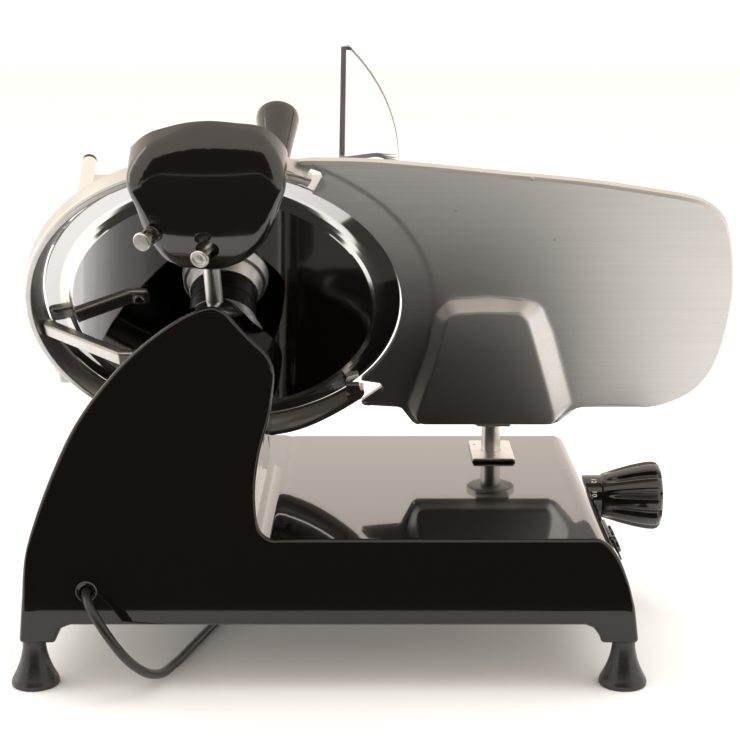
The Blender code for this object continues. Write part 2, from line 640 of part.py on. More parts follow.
cylinder("gauge_post", POST_R, slide_top + GAP, BOSS_Z - GAP, root, CHROME,
         at=(POST_X, POST_Y, 0), seg=32)
plate("slot_cover", [(POST_X - 16, POST_Y - 29), (POST_X + 17, POST_Y - 29),
                     (POST_X + 17, POST_Y + 29), (POST_X - 16, POST_Y + 29)], DECK_Z + GAP,
      DECK_Z + GAP + COVER_PLATE_T, root, PLASTIC,
      holes=[arc(POST_X, POST_Y, POST_R + GAP, 0, 345, 23),
             arc(POST_X - 12, POST_Y + 16, 1.3, 0, 330, 11)])
cylinder("gauge_guide_rod", SLIDE_ROD_R, ROD_LUGS[0] + GAP, ROD_LUGS[1] - GAP, root, STEEL,
         at=(POST_X, 0, SLIDE_ROD_Z), axis=(0, 1, 0))
block_x = CAM_X - 4.3
slide = box("gauge_slide", (POST_X - 10, POST_Y - 12, SLIDE_ROD_Z - 9),
            (block_x, POST_Y + 12, slide_top), root, STEEL)
cam_low, cam_high = 4.5, 4.5 + GAUGE_TRAVEL
boolean(slide, cylinder("cut_slide", SLIDE_ROD_R + GAP, 100, 300, root,
                        at=(POST_X, 0, SLIDE_ROD_Z), axis=(0, 1, 0), keep=False))
boolean(slide, cylinder("cam_pin", 1.3, -3, CAM_X - block_x + 1.0, root,
                        at=(block_x, KNOB_Y + cam_high, KNOB_Z), axis=(1, 0, 0), seg=16,
                        keep=False), "UNION")

# Knob, its shaft and the cam disc whose spiral groove drives the slide
cam = cylinder("cam_disc", CAM_R, 0, CAM_T, root, STEEL, at=(CAM_X, KNOB_Y, KNOB_Z),
               axis=(1, 0, 0), seg=48)
groove = [(CAM_X, KNOB_Y + (cam_high - GAUGE_TRAVEL * t) * math.cos(math.radians(a)),
           KNOB_Z + (cam_high - GAUGE_TRAVEL * t) * math.sin(math.radians(a)))
          for t, a in (((i - 1) / 34, -KNOB_TURN * (i - 1) / 34) for i in range(39))]
boolean(cam, tube("cut_groove", groove, 1.8, root, sides=1))
shaft_r = 4.0
cylinder("knob_shaft", shaft_r, CAM_X + CAM_T + GAP, 157.7, root, STEEL,
         at=(0, KNOB_Y, KNOB_Z), axis=(1, 0, 0), seg=20)
knob = turned("knob", [(0, 224.0), (9, 223.7), (18, 222.8), (23.2, 221.4), (KNOB_R - 0.8, 219.6),
                       (KNOB_R, 217), (KNOB_R, 214), (24.6, 205), (21.6, 193), (18.6, 183),
                       (17.0, 177.6), (KNOB_STEM_R, 176.4), (KNOB_STEM_R, 158), (0, 158)],
              root, PLASTIC, at=(0, KNOB_Y, KNOB_Z), axis=(1, 0, 0), steps=50)


def flutes(p):
    r = math.hypot(p.x, p.y)
    if p.z < 180 or p.z > 220 or r < 12:
        return p
    deep = 0.10 * min(1.0, (p.z - 178) / 14)
    wave = max(0.0, math.cos(10 * math.atan2(p.y, p.x)) + 0.15) / 1.15
    k = 1 - deep * wave
    return (p.x * k, p.y * k, p.z)


move_points(knob, flutes)

# Sharpener: post, cap, frame, two sprung buttons and their wheels
turned("sharpener_post", [(0, 103.7), (SH_POST_R, 103.7), (SH_POST_R, 26.8),
                          (SH_POST_R - 0.8, 26), (0, 26)], blade_frame, CHROME,
       at=(SH_POST_U, 0, SH_POST_W), axis=(0, 1, 0), steps=32)
CAP_SIDE = [(126, 15), (112, 34), (94, 57), (94, 65), (104, 66.2), (116, 66.6), (132, 64.8),
            (146, 60.6), (158.5, 53.4), (169, 45), (177, 37), (182.6, 29), (182.4, 20.6),
            (164, 20), (150, 15)]
CAP_FRONT = [(-16, 93.3), (-26, 98.5), (-34, 110.5), (-39.3, 124), (-44, 141), (-48.4, 152),
             (-47.9, 158), (-43.8, 164.6), (-34.7, 172.8), (-23.9, 177.3), (-11, 181.1),
             (2.5, 182.6), (19.8, 181), (36.9, 177.4), (44.8, 170), (50.4, 158.5), (50.9, 150),
             (48, 142), (43.3, 128), (34, 110.5), (23, 99.5), (11, 93)]
cap = plate("sharpener_cap", CAP_SIDE, *CAP_U, blade_frame, PLASTIC, "YZ")
boolean(cap, plate("cap_front", CAP_FRONT, 0, 90, blade_frame, keep=False), "INTERSECT")
inner = inset(CAP_SIDE, CAP_WALL)
inner = [(80, 0), (80, 65 - CAP_WALL), (94, 65 - CAP_WALL)] + inner[4:] \
    + [(140, 15 + CAP_WALL), (134, 0)]
hollow = plate("cut_cap", inner, -80, 80, blade_frame, plane="YZ", keep=False)
inner_front = inset(CAP_FRONT, CAP_WALL)
boolean(hollow, plate("cap_inner_front", [(inner_front[0][0], 70)] + inner_front
                      + [(inner_front[-1][0], 70)], -20, 90, blade_frame, keep=False),
        "INTERSECT")
boolean(cap, hollow)
FRAME_FRONT = [(-18, 104.5), (-30, 112), (-36.5, 127), (36.5, 127), (28.5, 112), (18, 104.5)]
sframe = plate("sharpener_frame", FRAME_FRONT, 36, 50, blade_frame, STEEL)
boolean(sframe, box("frame_socket", (SH_POST_U - 8, 96, 46), (SH_POST_U + 8, 108,
                                                             SH_POST_W + 4),
                    blade_frame, keep=False), "UNION")
boolean(sframe, cylinder("cut_socket", SH_POST_R + GAP, 80, 104, blade_frame,
                         at=(SH_POST_U, 0, SH_POST_W), axis=(0, 1, 0), keep=False))
BUTTONS = (("sharpening", Vector((-3.0, 120.0, 78.0)), Vector((-0.31, 0.26, 0.915)), 18.5),
           ("honing", Vector((-38.0, 132.0, 75.0)), Vector((-0.40, 0.328, 0.854)), 17.3))
for n, tip, d, wheel_w in BUTTONS:
    d.normalize()
    reach = (tip.z - wheel_w) / d.z
    turned(n + "_button", [(0, 1.4), (4.6, 1.4), (BUTTON_R, 0.6), (BUTTON_R, -1.2), (PIN_R, -1.6),
                           (PIN_R, -reach - WHEEL_T / 2), (0, -reach - WHEEL_T / 2)],
           blade_frame, CHROME, at=tip, axis=d, steps=18)
    turned(n + "_wheel", [(WHEEL_R, WHEEL_T / 2), (WHEEL_R, -WHEEL_T / 2),
                          (PIN_R + GAP, -WHEEL_T / 2), (PIN_R + GAP, WHEEL_T / 2)],
           blade_frame, STONE, at=tip - d * reach, axis=d, steps=18)
    boolean(sframe, cylinder("cut_pin_" + n, PIN_R + GAP, -60, 0, blade_frame, at=tip, axis=d,
                             seg=20, keep=False))
    boolean(cap, cylinder("cut_hole_" + n, 7.0 if n == "sharpening" else 5.8, -24, 4, blade_frame,
                          at=tip, axis=d, seg=24, keep=False))
tip, d = BUTTONS[1][1], BUTTONS[1][2]
turned("button_collar", [(4.6, -8.8), (5.5, -9.6), (5.5, -11), (4.9, -11.6), (5.5, -12.4),
                         (5.5, -18), (PIN_R + GAP, -18), (PIN_R + GAP, -8.8)],
       blade_frame, PLASTIC, at=tip, axis=d, steps=18)

# Carriage: tray, arm on the square rail, clear hand guard, rod and the pusher on it
(u0, u1), (s0, s1) = TRAY_U, TRAY_S
tray_out = [(u1, -s0), (u1, -s1)] + [(u0, -s1)] + arc(u0 + 18, -s0 - 18, 18, 180, 90, 6)
tray = plate("tray", tray_out, -TRAY_V, -TRAY_V + TRAY_T, blade_frame, BRUSHED, rim=0.6,
             turn=(math.pi / 2, 0, 0))
boolean(tray, box("rod_stand", (ROD_U - 9, TRAY_V - 1.5, -s0 - 10), (ROD_U + 9, ROD_V + 10, -s0),
                  blade_frame, keep=False), "UNION")
boolean(tray, cylinder("cut_rod", ROD_R + GAP, -60, 10, blade_frame, at=(ROD_U, ROD_V, 0),
                       keep=False))

under = TRAY_V - TRAY_T - GAP
arm_y0, arm_y1 = RAIL_Y - 3, RAIL_Y - 3 + ARM_T


def tray_z(y, v):
    """Height of the plane parallel to the tray at the offset v, at the depth y."""
    s = (y - BLADE_C[1] + v * math.sin(TILT)) / math.cos(TILT)
    return BLADE_C[2] + v * math.cos(TILT) + s * math.sin(TILT)


arm = box("carriage_arm", (ARM_X - 20, BASE_DEPTH + 2, RAIL_Z - 13),
          (ARM_X + 20, RAIL_Y + 12, RAIL_Z + 13), root, SATIN)
boolean(arm, plate("arm_bar", [(arm_y0, RAIL_Z), (arm_y0, tray_z(arm_y0, under)),
                               (arm_y1, tray_z(arm_y1, under)), (arm_y1, RAIL_Z)],
                   ARM_X - ARM_W / 2, ARM_X + ARM_W / 2, root, plane="YZ", keep=False), "UNION")
pad = [(arm_y0 - 22, tray_z(arm_y0 - 22, under)), (arm_y1 + 22, tray_z(arm_y1 + 22, under)),
       (arm_y1 + 22, tray_z(arm_y1 + 22, under) - 6), (arm_y0 - 22, tray_z(arm_y0 - 22, under) - 6)]
boolean(arm, plate("arm_pad", pad, ARM_X - 26, ARM_X + 26, root, plane="YZ", keep=False), "UNION")
boolean(arm, box("cut_rail", (ARM_X - 60, RAIL_Y - RAIL_HALF - GAP, RAIL_Z - RAIL_HALF - GAP),
                 (ARM_X + 60, RAIL_Y + RAIL_HALF + GAP, RAIL_Z + RAIL_HALF + GAP), root,
                 keep=False))
box("carriage_rail", (RAIL_X[0], RAIL_Y - RAIL_HALF, RAIL_Z - RAIL_HALF),
    (RAIL_X[1], RAIL_Y + RAIL_HALF, RAIL_Z + RAIL_HALF), root, STEEL)

panel_u = 81.0
guard_s = (95.0, 226.0)
guard_top = 50.0
guard_corner = 4.0
guard = plate("hand_guard", [(TRAY_V + GAP, -guard_s[0]), (guard_top, -guard_s[0]),
                             (guard_top, guard_corner - guard_s[1]),
                             (guard_top - guard_corner, -guard_s[1]),
                             (TRAY_V + GAP, -guard_s[1])], panel_u, panel_u + ACRYLIC,
              blade_frame, CLEAR, "YZ")
roof_reach, roof_r = 124.1, 236.0
roof = [(panel_u, -guard_s[0]), (88, -95.6), (100, -98.2), (109, -99.5), (113, -97.8),
        (116, -94.6), (120, -89)] \
    + arc(roof_reach - roof_r, -guard_s[0] - 2, roof_r, 2.7, -math.degrees(math.asin(127 / roof_r)),
          12) + [(panel_u, guard_corner - guard_s[1])]
boolean(guard, plate("guard_roof", roof, -guard_top, ACRYLIC - guard_top, blade_frame,
                     turn=(math.pi / 2, 0, 0), keep=False), "UNION")

rod_end = -ROD_S[1]
rod = cylinder("pusher_rod", ROD_R, rod_end, -ROD_S[0], blade_frame, CHROME, at=(ROD_U, ROD_V, 0))
boolean(rod, cylinder("cut_rod_end", PLUG_R + GAP, rod_end - 1, rod_end + 9, blade_frame,
                      at=(ROD_U, ROD_V, 0), seg=20, keep=False))
turned("rod_cap", [(0, rod_end + 8.5), (PLUG_R, rod_end + 8.5), (PLUG_R, rod_end - GAP),
                   (ROD_R, rod_end - GAP), (ROD_R, rod_end - 2.6), (ROD_R - 1, rod_end - 3.3),
                   (0, rod_end - 3.3)],
       blade_frame, PLASTIC, at=(ROD_U, ROD_V, 0), steps=20)
arm_s = (BUSH_S[0] + PUSHER_T + GAP, BUSH_S[0] + PUSHER_T + GAP + 6)
turned("pusher_bush", [(BUSH_R, -BUSH_S[0]), (BUSH_R, -arm_s[1] - GAP),
                       (BUSH_R + 3, -arm_s[1] - GAP), (BUSH_R + 3, -BUSH_S[1]),
                       (ROD_R + GAP, -BUSH_S[1]), (ROD_R + GAP, -BUSH_S[0])],
       blade_frame, PLASTIC, at=(ROD_U, ROD_V, 0), steps=24)
hu, hv = HANDLE_UV
du, dv = hu - ROD_U, hv - ROD_V
lean = math.degrees(math.atan2(dv, du))
arm_out = arc(ROD_U, ROD_V, BUSH_R + 5, lean + 90, lean + 270, 12) \
    + arc(hu, hv, 11, lean - 90, lean + 90, 10)
plate("pusher_arm", arm_out, -arm_s[1], -arm_s[0], blade_frame, SATIN,
      holes=[arc(ROD_U, ROD_V, BUSH_R + GAP, 0, 345, 23)])
plate("pusher_plate", [(-101.7, -90), (58.3, -90), (58.3, 45), (52.3, 51), (-60, 51),
                       (-101.7, 10)], -BUSH_S[0] - PUSHER_T, -BUSH_S[0], blade_frame, SATIN,
      rim=0.6)
h0 = -arm_s[1] - GAP
turned("pusher_handle", [(0, h0), (10.0, h0), (11.0, h0 - 10), (13.0, h0 - 28),
                         (15.2, h0 - 43), (16.0, h0 - 51.5), (15.7, h0 - 53.8),
                         (14.4, h0 - 55.4), (8.0, h0 - 56.4), (0, h0 - 56.8)],
       blade_frame, PLASTIC, at=(hu, hv, 0), steps=24)

# Mains lead: gland, free stretch, coil behind the machine and the plug
turned("cord_gland", [(CORD_R + 2.5, 14), (CORD_R + 2.5, -GAP), (CORD_R + 4.1, -GAP),
                      (CORD_R + 4.1, -1.9), (CORD_R + 3.3, -2.6), (CORD_R + 1.4, -2.6),
                      (CORD_R + 0.5, -0.8), (CORD_R + 0.5, 14)],
       root, RUBBER, at=(GLAND_X, 0, GLAND_Z), axis=(0, 1, 0), steps=18)
total_turns = 2 * LAYER_TURNS + 0.5
coil_r0 = COIL_MID_R + total_turns * COIL_PITCH / 4
floor_z = CORD_R + 0.1
layer_z = 2 * CORD_R + 0.6
meet = Vector((COIL_X - coil_r0, COIL_Y - 2 * CORD_R, floor_z))
ROUTE = [(GLAND_X, 15, GLAND_Z), (GLAND_X, 6, GLAND_Z), (GLAND_X, -3, GLAND_Z),
         (-182.0, -16, 66.3), (-171.0, -24.5, 51.5), (-159.5, -22.5, 34.0), (-149.5, -9, 18.5),
         (-141.0, 14, 7.6), (-134, 42, floor_z + 0.9), (-126, 76, floor_z), (-108, 150, floor_z),
         (-92, 225, floor_z), (meet.x - 0.6, 285, floor_z), (meet.x, meet.y - 14, floor_z),
         (meet.x, meet.y - GAP, floor_z)]


def smooth_route(pts, step):
    """Points every step along a Catmull-Rom curve through the route."""
    p = [Vector(q) for q in pts]
    p = [2 * p[0] - p[1]] + p + [2 * p[-1] - p[-2]]
    fine = []
    for i in range(1, len(p) - 2):
        a, b, c, e = p[i - 1:i + 3]
        for k in range(40):
            t = k / 40
            fine.append(0.5 * (2 * b + (c - a) * t + (2 * a - 5 * b + 4 * c - e) * t * t
                               + (3 * b - a - 3 * c + e) * t ** 3))
    fine.append(p[-2])
    length = sum((fine[i + 1] - fine[i]).length for i in range(len(fine) - 1))
    n = max(2, round(length / step))
    out, done, want = [fine[0]], 0.0, length / n
    for i in range(len(fine) - 1):
        done += (fine[i + 1] - fine[i]).length
        if done >= want - 1e-6 and len(out) < n:
            out.append(fine[i + 1])
            want += length / n
    out.append(fine[-1])
    return out, length


route, free_length = smooth_route(ROUTE, 12.5)
route[-2] = Vector((route[-1].x, route[-2].y, route[-1].z))
tube("mains_cord", route, CORD_R, root, RUBBER)


def coil_point(turn):
    """Clockwise from above, in over the floor, up a layer in half a turn, and out again."""
    a = math.pi - 2 * math.pi * turn
    r = coil_r0 - COIL_PITCH * min(turn, total_turns - turn)
    z = min(1.0, max(0.0, (turn - LAYER_TURNS) * 2))
    return Vector((COIL_X + r * math.cos(a), COIL_Y + r * math.sin(a), floor_z + z * layer_z))


coil = [coil_point(i / 24) for i in range(round(total_turns * 24) + 1)]
leave = COIL_X - 50.0
coil = [meet, meet + Vector((0, 2 * CORD_R - 1.0, 0))] + coil[1:] \
    + [Vector((x, coil[-1].y, coil[-1].z)) for x in (COIL_X - 12, COIL_X - 31, leave)]
tube("cord_coil", coil, CORD_R, root, RUBBER, sides=1)
coil_length = sum((coil[i + 1] - coil[i]).length for i in range(len(coil) - 1))


def least_gap(pts, r):
    """Least clear distance between parts of the tube more than half a turn apart."""
    fine = [pts[i].lerp(pts[i + 1], k / 4) for i in range(len(pts) - 1) for k in range(4)]
    best = 1e9
    for i in range(len(fine)):
        for j in range(i + 40, len(fine)):
            best = min(best, (fine[i] - fine[j]).length)
    return best - 2 * r


print("coil: least gap to itself %.2f mm, cord length %.0f mm"
      % (least_gap(coil, CORD_R), free_length + coil_length))

pl, pw, ph = PLUG
plug_z = coil[-1].z
px = leave - GAP
plug = plate("mains_plug", [(px - pl, -pw / 2 + 3), (px - pl + 3, -pw / 2), (px - 16, -pw / 2),
                            (px, -6.5), (px, 6.5), (px - 16, pw / 2), (px - pl + 3, pw / 2),
                            (px - pl, pw / 2 - 3)], 0.1, 0.1 + ph, root, RUBBER,
             rim=1.5, at=(0, coil[-1].y, 0))
for y in (-9.5, 9.5):
    boolean(plug, cylinder("plug_pin", 2.4, 0, 22, root, at=(px - pl + 3, coil[-1].y + y, plug_z),
                           axis=(-1, 0, 0), seg=16, keep=False), "UNION")

# The origin: middle of the machine's box without its lead, on the surface it stands on
CORD_NODES = ("mains_cord", "cord_coil", "mains_plug")
bpy.context.view_layer.update()
depsgraph = bpy.context.evaluated_depsgraph_get()
xs, ys = [], []
for o in parts.objects:
    if o.type == "MESH" and o.name not in CORD_NODES:
        shape = o.evaluated_get(depsgraph)
        for corner in shape.bound_box:
            p = shape.matrix_world @ Vector(corner)
            xs.append(p.x)
        for v in shape.data.vertices:
            ys.append((shape.matrix_world @ v.co).y)
root.location = (-(min(xs) + max(xs)) / 2, -(min(ys) + max(ys)) / 2, 0)
bpy.context.view_layer.update()
print("frame moved by", [round(c * 1000, 3) for c in root.location])
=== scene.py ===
# %% [markdown]
# # An electric meat slicer, dressed for its photograph
#
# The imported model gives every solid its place. This lesson puts the real surfaces around it:
# glossy black paint, cast and brushed aluminium, a mirror-polished blade, clear acrylic and
# moulded plastic. Each step first says what the piece is on the real machine, then how it is
# made and why in that way.

import json
import math

import bmesh
import bpy
import numpy as np
from mathutils import Matrix, Vector, geometry


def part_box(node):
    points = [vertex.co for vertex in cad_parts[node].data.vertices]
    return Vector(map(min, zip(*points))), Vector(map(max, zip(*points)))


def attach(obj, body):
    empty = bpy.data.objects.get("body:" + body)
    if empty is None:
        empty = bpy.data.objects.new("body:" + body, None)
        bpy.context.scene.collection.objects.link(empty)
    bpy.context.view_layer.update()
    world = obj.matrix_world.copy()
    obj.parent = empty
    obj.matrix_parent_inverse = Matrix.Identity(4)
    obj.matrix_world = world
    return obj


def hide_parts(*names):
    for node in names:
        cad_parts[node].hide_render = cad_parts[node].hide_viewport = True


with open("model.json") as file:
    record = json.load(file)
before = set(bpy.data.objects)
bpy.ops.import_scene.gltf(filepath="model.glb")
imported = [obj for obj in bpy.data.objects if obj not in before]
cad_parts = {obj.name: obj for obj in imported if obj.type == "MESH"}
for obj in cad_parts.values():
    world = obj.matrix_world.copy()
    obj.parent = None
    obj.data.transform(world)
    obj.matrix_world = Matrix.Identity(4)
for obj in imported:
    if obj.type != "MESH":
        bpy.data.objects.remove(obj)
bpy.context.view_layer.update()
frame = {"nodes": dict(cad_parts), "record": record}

# %% [markdown]
# ## Three frames
#
# All sizes are in millimetres. The machine frame stands on the table: x = 0 is the middle of
# the picture and y = 0 the casting's front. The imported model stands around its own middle, and
# one corner of the bottom plate ties the two together. The blade leans 37 degrees towards the
# camera, so everything on it is drawn in a frame of its own: u to the right, v up the blade's
# face and w along its axis, out of the face that the photograph shows. The shelf frame is the
# same one laid down, for the tray and what stands on it.

# %% The machine, blade and shelf frames
MM = 0.001
LEAN = math.asin(0.6)
PLATE_X, PLATE_Y = -204.7, 4.3
CENTRE_X, CENTRE_Y, CENTRE_Z = -103.3, 123.2, 242.9
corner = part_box("bottom_plate")[0]
MACHINE = Matrix.Translation((corner.x - PLATE_X * MM, corner.y - PLATE_Y * MM, 0))
BLADE = MACHINE @ Matrix.Translation(Vector((CENTRE_X, CENTRE_Y, CENTRE_Z)) * MM) \
    @ Matrix.Rotation(math.pi / 2 + LEAN, 4, "X")
SHELF = BLADE @ Matrix.Rotation(-math.pi / 2, 4, "X")


def towards(where, at, axis=(0, 0, 1)):
    """A frame at a point of another one, with its z axis along the given direction."""
    turn = Vector((0, 0, 1)).rotation_difference(Vector(axis)).to_matrix().to_4x4()
    return where @ Matrix.Translation(Vector(at) * MM) @ turn


print("shift of the machine frame:", [round(v / MM, 1) for v in MACHINE.translation])

# %% [markdown]
# ## The camera
#
# The photograph was taken with a long lens from a little above. The ellipse of the round blade
# and the two ends of the base fix the camera: 24 degrees wide, 1.08 metres in front of the
# machine and 12 degrees down. The horizon lies 364 pixels above the picture's middle.

# %% The camera
FOCAL_PX, FRAME_PX, HORIZON_PX = 1728.0, 740.0, 364
SENSOR_MM = 36.0
CAMERA_Y, CAMERA_Z = -1080, 446.5
camera_data = bpy.data.cameras.new("camera")
camera_data.sensor_fit = "HORIZONTAL"
camera_data.sensor_width = SENSOR_MM
camera_data.lens = SENSOR_MM * FOCAL_PX / FRAME_PX
camera = bpy.data.objects.new("camera", camera_data)
camera.location = MACHINE @ (Vector((0, CAMERA_Y, CAMERA_Z)) * MM)
camera.rotation_euler = (math.pi / 2 - math.atan(HORIZON_PX / FOCAL_PX), 0, 0)
bpy.context.scene.collection.objects.link(camera)
bpy.context.scene.camera = camera
print("lens %.1f mm" % camera_data.lens)

# %% [markdown]
# ## Finishes
#
# Each finish is a small node tree. The number that is the same all over goes straight into the
# shader's socket. What varies, such as brushing, grain or fingerprints, comes from noise in the
# piece's own coordinates, so it stays in place when the piece or the view moves.


def blank_finish(name, slot, colour, rough, metal=0.0, **sockets):
    """A new material with its shader's sockets set. The slot argument is not used."""
    m = bpy.data.materials.new(name)
    m.use_nodes = True
    shader = m.node_tree.nodes["Principled BSDF"]
    shader.inputs["Base Color"].default_value = (*colour, 1.0)
    shader.inputs["Roughness"].default_value = rough
    shader.inputs["Metallic"].default_value = metal
    for socket, value in sockets.items():
        shader.inputs[socket.replace("_", " ")].default_value = value
    return m


def noise(m, scale, detail=3.0, stretch=(1, 1, 1), rough=0.5):
    """Noise in the piece's own coordinates; stretch multiplies the scale along each axis."""
    nodes, links = m.node_tree.nodes, m.node_tree.links
    where = nodes.new("ShaderNodeTexCoord")
    mapping = nodes.new("ShaderNodeMapping")
    mapping.inputs["Scale"].default_value = stretch
    texture = nodes.new("ShaderNodeTexNoise")
    texture.inputs["Scale"].default_value = scale
    texture.inputs["Detail"].default_value = detail
    texture.inputs["Roughness"].default_value = rough
    links.new(where.outputs["Object"], mapping.inputs["Vector"])
    links.new(mapping.outputs["Vector"], texture.inputs["Vector"])
    return texture.outputs["Fac"]


def spread(m, source, low, high, begin=0.3, end=0.7):
    """Turns a noise value into a range of numbers."""
    node = m.node_tree.nodes.new("ShaderNodeMapRange")
    for socket, value in (("From Min", begin), ("From Max", end), ("To Min", low),
                          ("To Max", high)):
        node.inputs[socket].default_value = value
    m.node_tree.links.new(source, node.inputs["Value"])
    return node.outputs["Result"]


def vary_rough(m, source, low, high):
    """Lets the roughness wander between two values."""
    shader = m.node_tree.nodes["Principled BSDF"]
    m.node_tree.links.new(spread(m, source, low, high), shader.inputs["Roughness"])


def vary_colour(m, source, dark, light, begin=0.3, end=0.7):
    """Lets the colour wander between two values."""
    nodes, links = m.node_tree.nodes, m.node_tree.links
    ramp = nodes.new("ShaderNodeValToRGB")
    ramp.color_ramp.elements[0].color = (*dark, 1)
    ramp.color_ramp.elements[1].color = (*light, 1)
    links.new(spread(m, source, 0.0, 1.0, begin, end), ramp.inputs["Fac"])
    links.new(ramp.outputs["Color"], nodes["Principled BSDF"].inputs["Base Color"])


def relief_of(m, source, depth_mm, strength=1.0):
    """Small height differences: depth_mm between the noise's low and high values."""
    nodes, links = m.node_tree.nodes, m.node_tree.links
    bump = nodes.new("ShaderNodeBump")
    bump.inputs["Strength"].default_value = strength
    bump.inputs["Distance"].default_value = depth_mm * MM
    links.new(source, bump.inputs["Height"])
    links.new(bump.outputs["Normal"], nodes["Principled BSDF"].inputs["Normal"])


print("a finish can vary in roughness, colour and relief")

# %% [markdown]
# ## Paint, plastic and rubber
#
# The casting has a thick, warm black enamel that reflects like a mirror, with the faintest
# orange peel. The moulded pieces are a little duller, and the rubber of the feet and of the
# mains lead is duller still.

# %% The black finishes
black_enamel = blank_finish("black_enamel", "black_paint", (0.0042, 0.0034, 0.0028), 0.10,
                            Coat_Weight=1.0, Coat_Roughness=0.02, Coat_IOR=1.45,
                            Specular_IOR_Level=0.1)
relief_of(black_enamel, noise(black_enamel, 130, 2), 0.02, 0.25)
gloss_moulding = blank_finish("gloss_moulding", "black_plastic", (0.0060, 0.0046, 0.0040), 0.13,
                              Coat_Weight=0.6, Coat_Roughness=0.04)
vary_rough(gloss_moulding, noise(gloss_moulding, 60, 4), 0.10, 0.17)
foot_rubber = blank_finish("foot_rubber", "rubber", (0.012, 0.0115, 0.011), 0.3,
                           Specular_IOR_Level=0.6)
vary_rough(foot_rubber, noise(foot_rubber, 180, 4), 0.24, 0.40)
lead_sheath = blank_finish("lead_sheath", "cord_rubber", (0.014, 0.0135, 0.013), 0.36)
relief_of(lead_sheath, noise(lead_sheath, 900, 2), 0.02, 0.4)
belt_ribs = blank_finish("belt_ribs", "belt_rubber", (0.02, 0.02, 0.02), 0.6)
relief_of(belt_ribs, noise(belt_ribs, 700, 3), 0.05, 0.6)
print("black finishes made")

# %% [markdown]
# ## Cast, brushed and machined metal
#
# The ring and its arm are cast and blasted: pale and satin, with a fine grain. The gauge and
# the tray are brushed along their length, so their noise is stretched about a hundred times
# along u. The pusher's rod is chromed. The pillar, the plate over its slot, the hood's post and
# the sharpener's buttons are bare steel, dulled by wiping, with wide and soft marks.

# %% Cast, brushed and machined metal
cast_satin = blank_finish("cast_satin", "satin_aluminium", (0.61, 0.60, 0.58), 0.36, 1.0)
vary_rough(cast_satin, noise(cast_satin, 240, 5), 0.30, 0.44)
vary_colour(cast_satin, noise(cast_satin, 35, 4), (0.58, 0.57, 0.55), (0.64, 0.63, 0.61))
relief_of(cast_satin, noise(cast_satin, 1500, 2), 0.02, 0.5)

brushed_sheet = blank_finish("brushed_sheet", "brushed_plate", (0.66, 0.65, 0.635), 0.5, 1.0)
vary_rough(brushed_sheet, noise(brushed_sheet, 900, 3, (0.012, 1, 1)), 0.45, 0.54)
vary_colour(brushed_sheet, noise(brushed_sheet, 620, 4, (0.01, 1, 1)), (0.64, 0.63, 0.615),
            (0.68, 0.67, 0.655))
relief_of(brushed_sheet, noise(brushed_sheet, 1500, 2, (0.01, 1, 1)), 0.006, 0.35)

bright_chrome = blank_finish("bright_chrome", "chrome", (0.80, 0.775, 0.74), 0.07, 1.0)
vary_rough(bright_chrome, noise(bright_chrome, 300, 3), 0.05, 0.12)

machined_steel = blank_finish("machined_steel", "steel", (0.50, 0.485, 0.465), 0.34, 1.0)
vary_rough(machined_steel, noise(machined_steel, 500, 4), 0.26, 0.42)
relief_of(machined_steel, noise(machined_steel, 1200, 2), 0.01, 0.5)

# Near-black steel for the blade's carrier: painted shade, standing in for the shadow under the
# hood.
shade_dark_steel = blank_finish("shade_dark_steel", "steel", (0.045, 0.044, 0.042), 0.4, 1.0)
vary_rough(shade_dark_steel, noise(shade_dark_steel, 500, 4), 0.34, 0.46)

worn_steel = blank_finish("worn_steel", "chrome", (0.76, 0.75, 0.72), 0.36, 1.0)
vary_rough(worn_steel, noise(worn_steel, 90, 5, (1, 1, 0.3)), 0.28, 0.44)
relief_of(worn_steel, noise(worn_steel, 160, 3, (1, 1, 0.25)), 0.015, 0.4)
print("cast, brushed and machined metals made")

# %% [markdown]
# ## Turned and ground metal
#
# The blade is polished as it turns and the housing's rings come off a lathe, so their marks are
# circles: the noise there reads the distance from the axis. The blade's hollow-ground band has
# a finish of its own, paler and duller than the mirror on both sides of it.

# %% Turned and ground metal


def turning_marks(m, scale):
    """Noise that only changes with the distance from the piece's own z axis."""
    nodes, links = m.node_tree.nodes, m.node_tree.links
    where = nodes.new("ShaderNodeTexCoord")
    flat = nodes.new("ShaderNodeVectorMath")
    flat.operation = "MULTIPLY"
    flat.inputs[1].default_value = (1, 1, 0)
    length = nodes.new("ShaderNodeVectorMath")
    length.operation = "LENGTH"
    texture = nodes.new("ShaderNodeTexNoise")
    texture.noise_dimensions = "1D"
    texture.inputs["Scale"].default_value = scale
    texture.inputs["Detail"].default_value = 3
    links.new(where.outputs["Object"], flat.inputs[0])
    links.new(flat.outputs["Vector"], length.inputs[0])
    links.new(length.outputs["Value"], texture.inputs["W"])
    return texture.outputs["Fac"]


blade_mirror = blank_finish("blade_mirror", "mirror_steel", (0.60, 0.60, 0.61), 0.05, 1.0)
vary_rough(blade_mirror, turning_marks(blade_mirror, 1600), 0.03, 0.075)
ground_bevel = blank_finish("ground_bevel", "mirror_steel", (0.70, 0.70, 0.69), 0.12, 1.0)
vary_rough(ground_bevel, turning_marks(ground_bevel, 3000), 0.08, 0.16)
relief_of(ground_bevel, turning_marks(ground_bevel, 5200), 0.003, 0.4)
lathe_bright = blank_finish("lathe_bright", "satin_aluminium", (0.84, 0.84, 0.82), 0.4, 1.0)
vary_rough(lathe_bright, turning_marks(lathe_bright, 2500), 0.34, 0.44)
print("turned and ground metals made")

# %% [markdown]
# ## Clear acrylic, stone and print
#
# Acrylic sheet is clear through its faces, and its polished edges look grey-blue because the
# light in them has come through the whole sheet. So its edges get a finish of their own. The
# sharpening stones are mottled and coarse. The knob's numbers and the switch's signs are dull
# white print.

